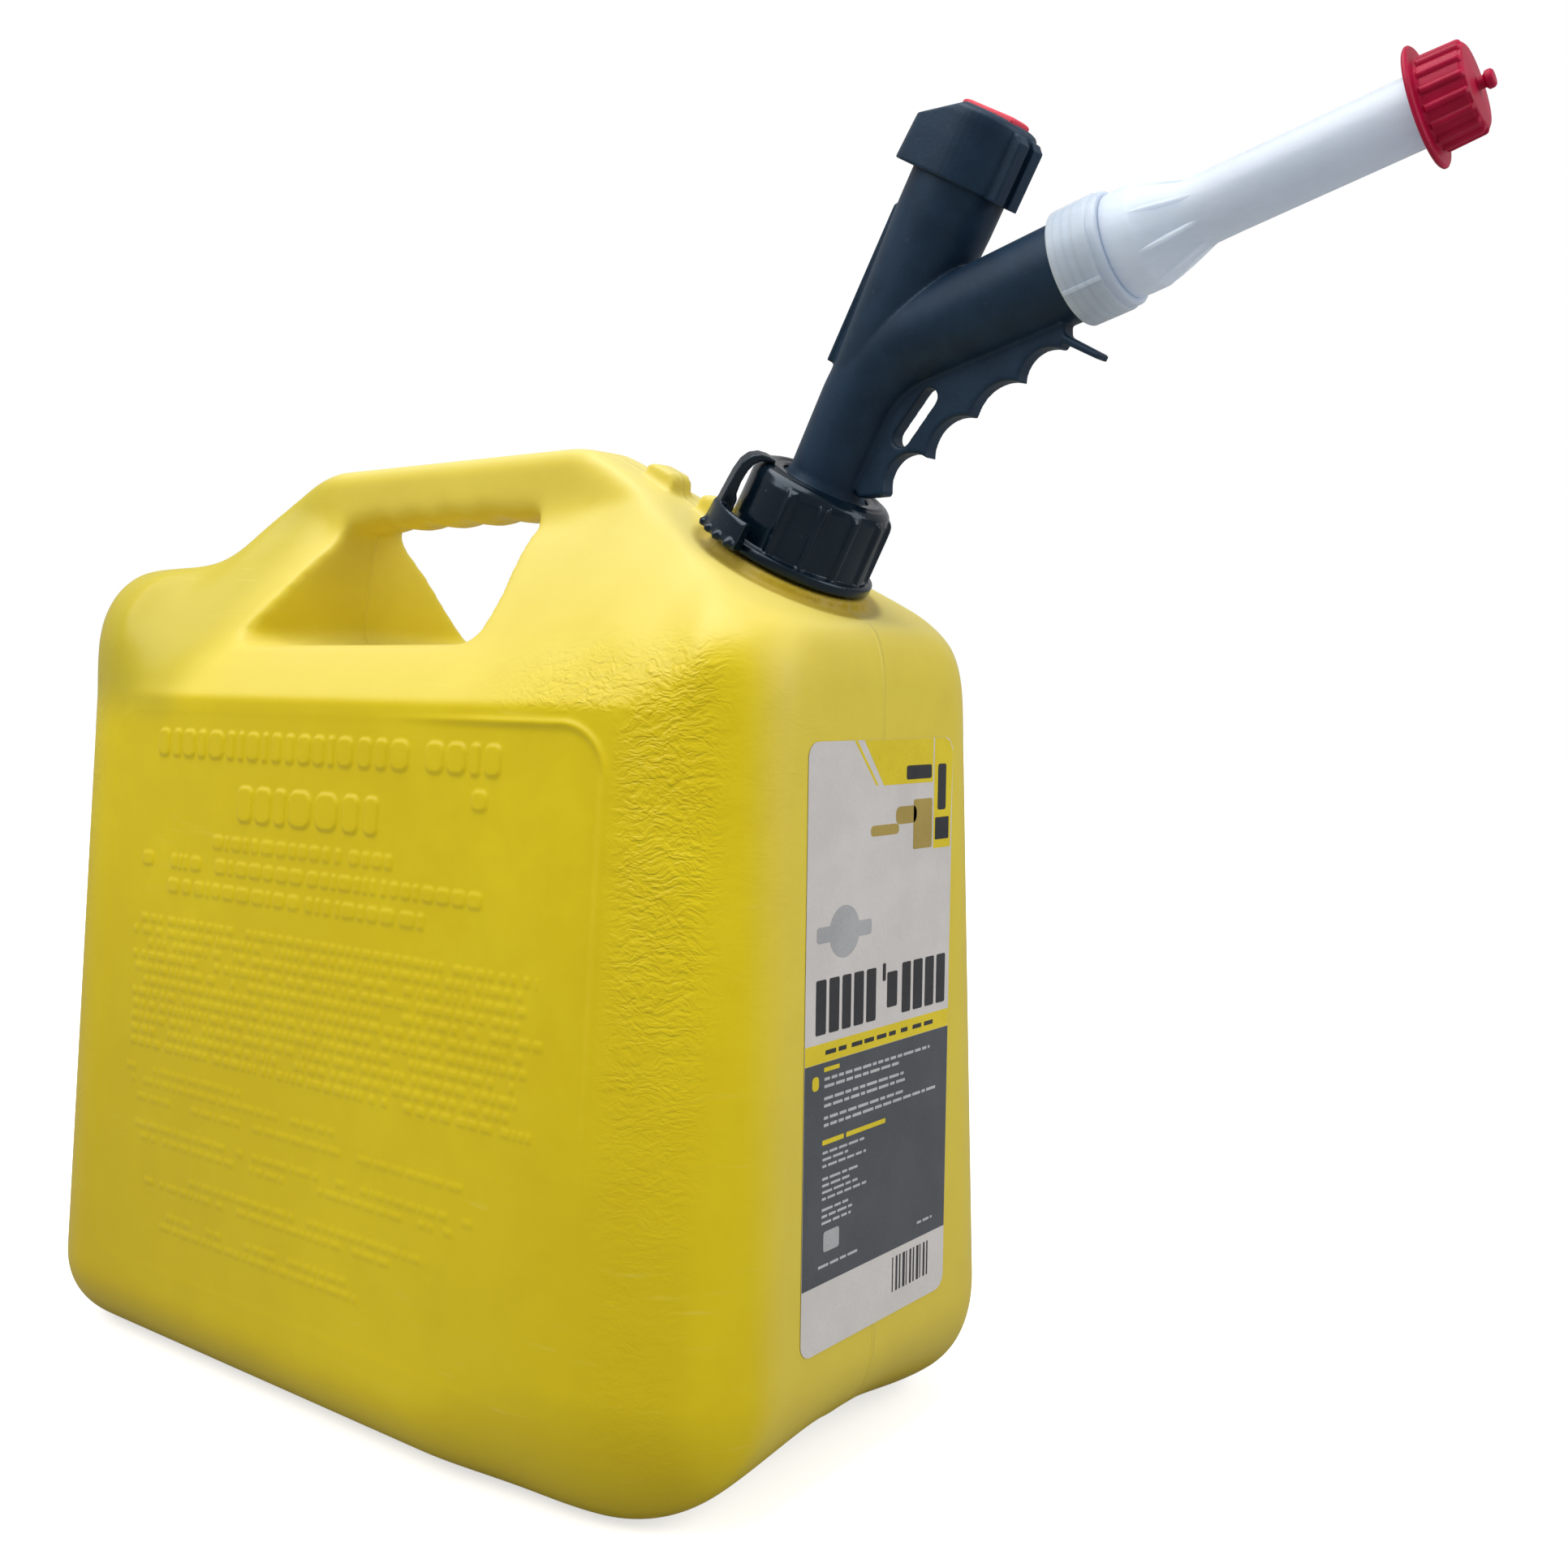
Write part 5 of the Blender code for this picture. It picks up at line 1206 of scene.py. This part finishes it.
join(lever, loft("foot", foot, turned(NECK, 250.0)))
reskin(lever, size=0.34, rounds=4)
finish_piece(lever, gloss, "lever", "lock_lever")

# ------------------------------------------------------------------ spout moulding
# The passage runs up the neck, round a bend and out along the branch.
BEND_R = 40.0
bend_angle = math.acos(NECK_AXIS.dot(BRANCH_AXIS))
tangent = BEND_R * math.tan(bend_angle / 2)
bend_start = on_neck(JUNCTION_HEIGHT - tangent)
bend_centre = bend_start + BEND_R * NECK_FRONT
passage = [on_neck(27.0), on_neck(34.0), on_neck(44.0), bend_start]
for k in range(1, 16):
    angle = bend_angle * k / 16
    across, up = math.cos(angle) * NECK_FRONT, math.sin(angle) * NECK_AXIS
    passage.append(bend_centre - BEND_R * across + BEND_R * up)
passage += [on_branch(tangent), on_branch(40.0), on_branch(72.6)]
travel = [0.0]
for here, there in zip(passage, passage[1:]):
    travel.append(travel[-1] + (there - here).length)
radii = [13.6 + 1.9 * min(1.0, done / (0.86 * travel[-1])) for done in travel]
spout = tube_along("spout_skin", passage, radii, 72)

barrel = [(0.0, 60.0), (13.8, 60.0), (15.9, 122.0), (15.9, 136.0), (15.4, 136.6), (0.0, 136.6)]
flange = [
    (0.0, 25.7), (22.3, 25.7), (22.3, 27.2), (21.8, 27.6), (14.6, 27.6), (13.4, 32.0), (0.0, 32.0)
]
join(
    spout,
    lathe("barrel", barrel, NECK),
    lathe("flange", flange, NECK),
    cylinder("inlet", 15.3, -7.0, 26.2, NECK),
)
spigot_profile = [
    (0.0, 68.0), (SPIGOT_R, 68.0), (SPIGOT_R, 82.0), (SPIGOT_R - 0.5, 82.6), (0.0, 82.6)
]
spigot = lathe("spigot", spigot_profile, BRANCH)
join(
    spigot,
    thread("spigot_thread", SPIGOT_R, 2.0, start=74.2, depth=1.2, where=BRANCH, **NOZZLE_THREAD),
)
join(spout, spigot)

# The plate in the plane y = 0: tips of its scalloped edge, and the depth of each scallop.
TIPS = [(182.3, 332.9), (198.5, 342.9), (214.2, 354.8), (231.5, 364.0), (245.3, 372.5)]
plate = [(166.0, 343.0), (172.0, 331.8), (181.6, 332.0), TIPS[0]]
for start, end, depth in zip(TIPS, TIPS[1:], (6.6, 5.0, 4.2, 4.4)):
    plate += arc_points(start, end, depth, 14)
plate += [
    (246.2, 374.2), (258.4, 367.8), (259.4, 369.6), (247.2, 376.6), (246.8, 384.0),
    (236.0, 388.0), (210.0, 381.0), (186.0, 366.0), (170.0, 352.0),
]
join(spout, prism("grip_plate", plate, 3.3))

# A slot with round ends through the plate.
SLOT_START, SLOT_TOWARDS = (188.9, 350.4), (198.9, 362.1)
SLOT_LENGTH, SLOT_R = 15.4, 3.3
slot_x, slot_z = Vector(
    (SLOT_TOWARDS[0] - SLOT_START[0], SLOT_TOWARDS[1] - SLOT_START[1])
).normalized()
slot = []
for offset, first in ((0.0, 90), (SLOT_LENGTH, -90)):
    for k in range(17):
        angle = math.radians(first + 180.0 * k / 16)
        along, across = offset + SLOT_R * math.cos(angle), SLOT_R * math.sin(angle)
        slot.append((
            SLOT_START[0] + along * slot_x + across * slot_z,
            SLOT_START[1] + along * slot_z - across * slot_x,
        ))
cut(spout, prism("slot", slot, 12.0))

back_rib = [(-16.6, 88.0), (-16.6, 133.0), (-10.0, 133.0), (-10.0, 66.0), (-14.6, 70.0)]
join(
    spout,
    prism("back_rib", back_rib, 3.6, NECK),
    box("side_strip", (13.0, -1.3, 66.0), (16.7, 1.3, 119.6), turned(NECK, 207.0)),
)
neck_passage = [
    (0.0, -12.0), (13.0, -12.0), (13.0, 23.0), (11.0, 25.0),
    (11.0, 96.0), (12.2, 96.0), (12.2, 150.0), (0.0, 150.0),
]
cut(
    spout,
    lathe("inlet_bore", neck_passage, NECK),
    cylinder("branch_bore", 10.8, 0.0, 95.0, BRANCH @ Matrix.Rotation(0.05, 4, "Z")),
)
reskin(spout, size=0.5, rounds=5)
finish_piece(spout, black, "spout", "spout_body")


# ------------------------------------------------------------------ thumb head
def head_plan(half, back, corner):
    """A plan with a round front, and a straight rear at back with rounded corners."""
    outline = []
    for k in range(25):
        angle = math.radians(-90 + 180.0 * k / 24)
        outline.append((half * math.cos(angle), half * math.sin(angle)))
    for sign, first in ((1, 90), (-1, 180)):
        for k in range(11):
            angle = math.radians(first + 9.0 * k)
            x = back + corner + corner * math.cos(angle)
            outline.append((x, sign * (half - corner) + corner * math.sin(angle)))
    return outline


# Height, half width, rear edge, rear corner radius.
HEAD_STATIONS = (
    (HEAD_LOW, 17.4, -19.0, 9.0), (HEAD_LOW + 0.4, 17.5, -19.1, 9.0), (144.0, 17.3, -18.2, 8.8),
    (151.5, 17.0, -17.6, 8.6), (153.4, 16.7, -17.2, 8.4), (154.3, 15.9, -16.6, 8.0),
    (154.9, 14.4, -15.6, 7.6), (155.2, 12.8, -14.0, 7.0), (HEAD_TOP, 11.0, -12.4, 6.0),
)
head = loft("head_skin", [[(x, y, z) for x, y in head_plan(*s)] for z, *s in HEAD_STATIONS], NECK)
for y in (-4.3, 4.3):
    join(head, box("rail", (12.6, y - 2.7, 131.9), (19.5, y + 2.7, 152.8), NECK))
rear_slope = [
    (-44.0, 140.0), (-21.0, 143.0), (-19.2, 145.0), (-17.8, 147.2), (-16.0, 149.2),
    (-9.0, 154.6), (-8.4, HEAD_TOP), (-8.4, 172.0), (-44.0, 172.0),
]
cut(head, prism("rear_slope", rear_slope, 30.0, NECK))
# The two rear corners fall away diagonally.
for side in (-1.0, 1.0):
    corner = Vector((0.0, 16.5 * side, 154.4))
    along = Vector((-8.0, -11.0 * side, 0.6))
    down = Vector((-9.8, 0.0, -5.4))
    slope = NECK @ frame_at(corner, along, along.cross(down) * -side)
    cut(head, box("corner_cut", (-60.0, -60.0, 0.0), (60.0, 60.0, 30.0), slope))
front_chamfer = [
    (13.0, HEAD_TOP + 0.3), (16.4, 153.6), (19.2, 151.0), (34.0, 151.0), (34.0, 172.0), (13.0, 172.0)
]
rib_notch = [(-17.1, 120.0), (-17.1, 147.0), (-10.0, 149.4), (-10.0, 120.0)]
cut(
    head,
    prism("front_chamfer", front_chamfer, 30.0, NECK),
    cylinder("head_bore", 16.4, 120.0, 149.4, NECK),
    prism("rib_notch", rib_notch, 4.1, NECK),
)
well = box("well", (-8.2, -5.4, 144.0), (8.2, 5.4, 154.0), NECK)
join(well, cylinder("socket", 4.6, 138.6, 146.0, NECK))
join(head, well)
cut(
    head,
    box("well_hollow", (-7.0, -4.2, 146.2), (7.0, 4.2, 165.0), NECK),
    box("plate_pocket", (-8.5, -6.0, 151.4), (12.7, 6.0, 165.0), NECK),
    cylinder("rod_hole", 2.8, 130.0, 144.4, NECK),
)
reskin(head, size=0.32, rounds=4)
finish_piece(head, black, "head", "thumb_head")

# ------------------------------------------------------------------ button in the head
# Height and how far the outline has drawn in there.
button_stations = (
    (154.6, 0.0), (155.7, 0.0), (156.2, 0.25), (156.55, 0.8), (156.75, 1.6), (156.8, 2.6)
)
button_rings = []
for z, inset in button_stations:
    rear, front, half = -8.0 + inset, 12.2 - inset, 5.5 - inset
    outline = rounded([(rear, -half), (front, -half), (front, half), (rear, half)], 1.2, 5)
    button_rings.append([(x, y, z) for x, y in outline])
button = loft("button_skin", button_rings, NECK)
join(button, box("stem", (-6.6, -3.8, 151.6), (6.6, 3.8, 155.2), NECK))
for k in range(5):
    cut(button, box("groove", (-4.8 + 3.1 * k, -3.3, 156.5), (-4.0 + 3.1 * k, 3.3, 160.0), NECK))
finish_piece(button, red, "button", "safety_button", sharp=30)

# ------------------------------------------------------------------ nozzle
# Radius, distance along the branch, corner radius.
nozzle_profile = [
    (0.0, 84.6), (15.5, 84.6, 0.2), (15.5, 86.3, 0.2), (14.6, 86.6, 0.1), (14.6, 88.5, 0.05),
    (15.7, 88.55, 0.3), (15.9, 92.0, 1.0), (15.8, 97.6, 2.5), (14.4, 101.0, 2.0),
    (12.0, 107.0, 3.0), (10.5, 111.6, 2.5), (10.1, 115.0, 2.0), (9.95, 122.0, 1.0),
    (NOZZLE_TIP_R, NOZZLE_END - 0.6, 0.4), (NOZZLE_TIP_R - 0.5, NOZZLE_END, 0.3),
    (0.0, NOZZLE_END),
]
# Webs on the cone: radius, distance along the branch, half width, lift.
WEB_STATIONS = (
    (14.2, 96.2, 0.9, 0.2), (14.0, 97.4, 1.1, 1.25), (13.0, 101.0, 1.15, 1.3),
    (11.6, 105.6, 1.1, 1.25), (10.3, 110.4, 1.0, 0.95), (9.4, 114.6, 0.8, 0.5),
    (9.0, 117.0, 0.6, 0.25),
)
web_rings = []
for radius, z, width, lift in WEB_STATIONS:
    half = [(radius, -width), (radius + 0.9 * lift, -width * 0.8)]
    half.append((radius + 1.5 * lift, -width * 0.3))
    web_rings.append([(out, y, z) for out, y in mirrored(half)])
nozzle = lathe("nozzle_skin", rounded(nozzle_profile, 0.5, 4), BRANCH, 128)
for k in range(8):
    join(nozzle, loft("web", web_rings, turned(BRANCH, 45.0 * k + 34.0)))
nozzle_bore = [
    (0.0, 78.0), (12.4, 78.0), (13.0, 86.6), (13.0, 96.6), (12.2, 100.2),
    (9.4, 107.4), (8.6, 111.0), (8.2, 200.0), (0.0, 200.0),
]
cut(nozzle, lathe("nozzle_bore", nozzle_bore, BRANCH))
finish_piece(nozzle, nozzle_milky, "nozzle", "nozzle_tube", sharp=38)

# ------------------------------------------------------------------ nut
nut_profile = [
    (17.6, NUT_BACK, 0.3), (18.0, NUT_BACK + 0.5, 0.3), (18.0, NUT_FRONT - 3.4, 0.4),
    (17.5, NUT_FRONT - 2.9, 0.3), (17.5, NUT_FRONT - 0.7, 0.6), (16.9, NUT_FRONT, 0.4),
    (15.0, NUT_FRONT, 0.2), (15.0, 86.8, 0.1), (NUT_BORE, 86.7, 0.1), (NUT_BORE, NUT_BACK, 0.2),
]
nut = lathe("nut_skin", rounded(nut_profile, 0.3, 4), BRANCH, 144)
seam = [
    (17.6, NUT_BACK + 0.6), (18.7, NUT_BACK + 0.8), (18.7, NUT_FRONT - 3.6), (17.6, NUT_FRONT - 3.2)
]
join(
    nut,
    thread("nut_thread", NUT_BORE, 1.5, start=75.7, depth=-1.4, where=BRANCH, **NOZZLE_THREAD),
    prism("seam", seam, 0.6, turned(BRANCH, -52.0)),
)
finish_piece(nut, nut_milky, "nut", "nozzle_nut", sharp=38)


# ------------------------------------------------------------------ cap
def cap_wall(angle, radius, along):
    """Sixteen grip ribs round the cap's wall."""
    if radius < 11.0 or not CAP_BACK + 2.4 < along < 190.2:
        return radius
    return radius - 0.35 + 1.0 * max(0.0, math.cos(angle * 16)) ** 0.6


cap_profile = [
    (10.35, CAP_BACK, 0.3), (16.0, CAP_BACK, 0.4), (16.6, CAP_BACK + 0.5, 0.3),
    (16.6, CAP_BACK + 1.1, 0.3), (16.0, CAP_BACK + 1.6, 0.4), (12.8, CAP_BACK + 1.8, 0.8),
    (12.4, CAP_BACK + 2.8, 0.6), (12.0, 189.6, 1.6), (10.9, 190.9, 1.2), (2.0, 191.2, 0.5),
    (1.7, 191.6), (1.7, 192.8), (2.5, 193.4), (2.5, 194.7, 0.5), (2.0, 195.3, 0.5),
    (0.0, 195.3), (0.0, 189.3), (10.35, 189.3, 0.3),
]
cap = lathe("cap_skin", rounded(cap_profile, 0.3, 4), BRANCH, 192, cap_wall)
finish_piece(cap, crimson, "cap", "nozzle_cap", sharp=38)

# ------------------------------------------------------------------ pieces kept from the CAD
LOOKS = (
    (drawn_steel, ("flame_screen", "disc_retainer", "push_rod")),
    (seal_rubber, ("neck_gasket", "disc_seal", "rod_seal", "nozzle_gasket", "cap_liner")),
    (inner_plastic, ("valve_seat_ring", "valve_disc", "rod_guide", "vent_tube", "vent_holder")),
)
for material, names in LOOKS:
    for name in names:
        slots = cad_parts[name].data.materials
        slots.clear()
        slots.append(material)


# ------------------------------------------------------------------ springs
def add_spring(node, mean_radius, wire_radius, bottom, length, turns, body):
    """A spring on the neck axis, in place of the named CAD part."""
    top = bottom + length
    spring = coil(node + "_wire", mean_radius, wire_radius, bottom, top, turns, NECK)
    finish_piece(spring, drawn_steel, body, node)
    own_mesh(spring)


add_spring(
    "return_spring", mean_radius=7.4, wire_radius=0.8, bottom=101.8, length=40.8, turns=8.0,
    body="spout",
)
add_spring(
    "button_spring", mean_radius=3.2, wire_radius=0.4, bottom=146.6, length=4.6, turns=3.5,
    body="head",
)

# ------------------------------------------------------------------ floor
scene = bpy.context.scene
bpy.ops.mesh.primitive_plane_add(size=14.0, location=(0.0, 0.0, -0.0003))
floor = bpy.context.object
floor.name = "studio_floor"
# The camera sees a near-white floor that brightens outwards; other rays see a darker grey.
mat = Surface("studio_floor_paint", colour=(0.86, 0.86, 0.86), roughness=0.75)
looked_at = mat.node("ShaderNodeLightPath", output="Is Camera Ray")
pale = mat.blend(mat.noise(scale=2.0, detail=2.0), (0.86, 0.86, 0.86), (0.89, 0.89, 0.89))
mat.put("Base Color", mat.blend(looked_at, (0.34, 0.34, 0.34), pale))
x, y, _ = mat.axes()
reach = mat.math("SQRT", x * x + y * y)
mat.put("Emission Color", (1.0, 1.0, 1.0, 1.0))
mat.put("Emission Strength", reach.ramp(start=0.20, end=1.5, to=(0.62, 0.95)) * looked_at)
floor.data.materials.append(mat.material)

# ------------------------------------------------------------------ sky
# Plain white where it is looked at, and dimmer where it lights the can.
SKY_LIGHT, SKY_SEEN = 0.48, 1.0
world = bpy.data.worlds.new("studio_sky")
scene.world = world
world.use_nodes = True
nodes, links = world.node_tree.nodes, world.node_tree.links
lit = nodes["Background"]
seen = nodes.new("ShaderNodeBackground")
for background, strength in ((lit, SKY_LIGHT), (seen, SKY_SEEN)):
    background.inputs["Color"].default_value = (1.0, 1.0, 1.0, 1.0)
    background.inputs["Strength"].default_value = strength
sky_mix = nodes.new("ShaderNodeMixShader")
links.new(nodes.new("ShaderNodeLightPath").outputs["Is Camera Ray"], sky_mix.inputs[0])
links.new(lit.outputs[0], sky_mix.inputs[1])
links.new(seen.outputs[0], sky_mix.inputs[2])
links.new(sky_mix.outputs[0], nodes["World Output"].inputs["Surface"])


# ------------------------------------------------------------------ lights
def softbox(name, position, target, size, power):
    """A rectangular area light. Metres and watts."""
    data = bpy.data.lights.new(name, "AREA")
    data.shape = "RECTANGLE"
    data.size, data.size_y = size
    data.energy = power
    obj = add_object(name, data)
    obj.location = position
    aim = Vector(target) - Vector(position)
    obj.rotation_euler = aim.to_track_quat("-Z", "Y").to_euler()


softbox("key", position=(-0.35, -1.55, 1.85), target=(0.0, 0.0, 0.22), size=(1.4, 1.2), power=23.5)
softbox("fill", position=(1.75, 0.45, 1.0), target=(0.08, 0.0, 0.22), size=(1.1, 1.4), power=15.5)
softbox("top", position=(0.05, -0.25, 1.75), target=(0.05, 0.0, 0.25), size=(1.3, 1.1), power=18.0)

# ------------------------------------------------------------------ camera
# It looks from the front right of the can towards +Y and -X, slightly down.
CAMERA_PLACE = (0.4834, -0.4532, 0.2699)
azimuth, pitch, roll = math.radians(37.10), math.radians(3.546), math.radians(0.778)
look = Vector((
    -math.sin(azimuth) * math.cos(pitch), math.cos(azimuth) * math.cos(pitch), -math.sin(pitch)
))
level = Vector((math.cos(azimuth), math.sin(azimuth), 0.0))
upright = level.cross(look)
right = math.cos(roll) * level + math.sin(roll) * upright
up = -math.sin(roll) * level + math.cos(roll) * upright
camera_data = bpy.data.cameras.new("camera")
camera_data.sensor_fit = "HORIZONTAL"
camera_data.sensor_width = 36.0
camera_data.lens = 37.4161491
camera_data.clip_start = 0.01
camera = bpy.data.objects.new("camera", camera_data)
pose = Matrix((right, up, -look)).transposed().to_4x4()
pose.translation = Vector(CAMERA_PLACE)
camera.matrix_world = pose
scene.collection.objects.link(camera)
scene.camera = camera
scene.view_settings.view_transform = "Standard"
scene.view_settings.look = "None"
scene.view_settings.exposure = 0.0
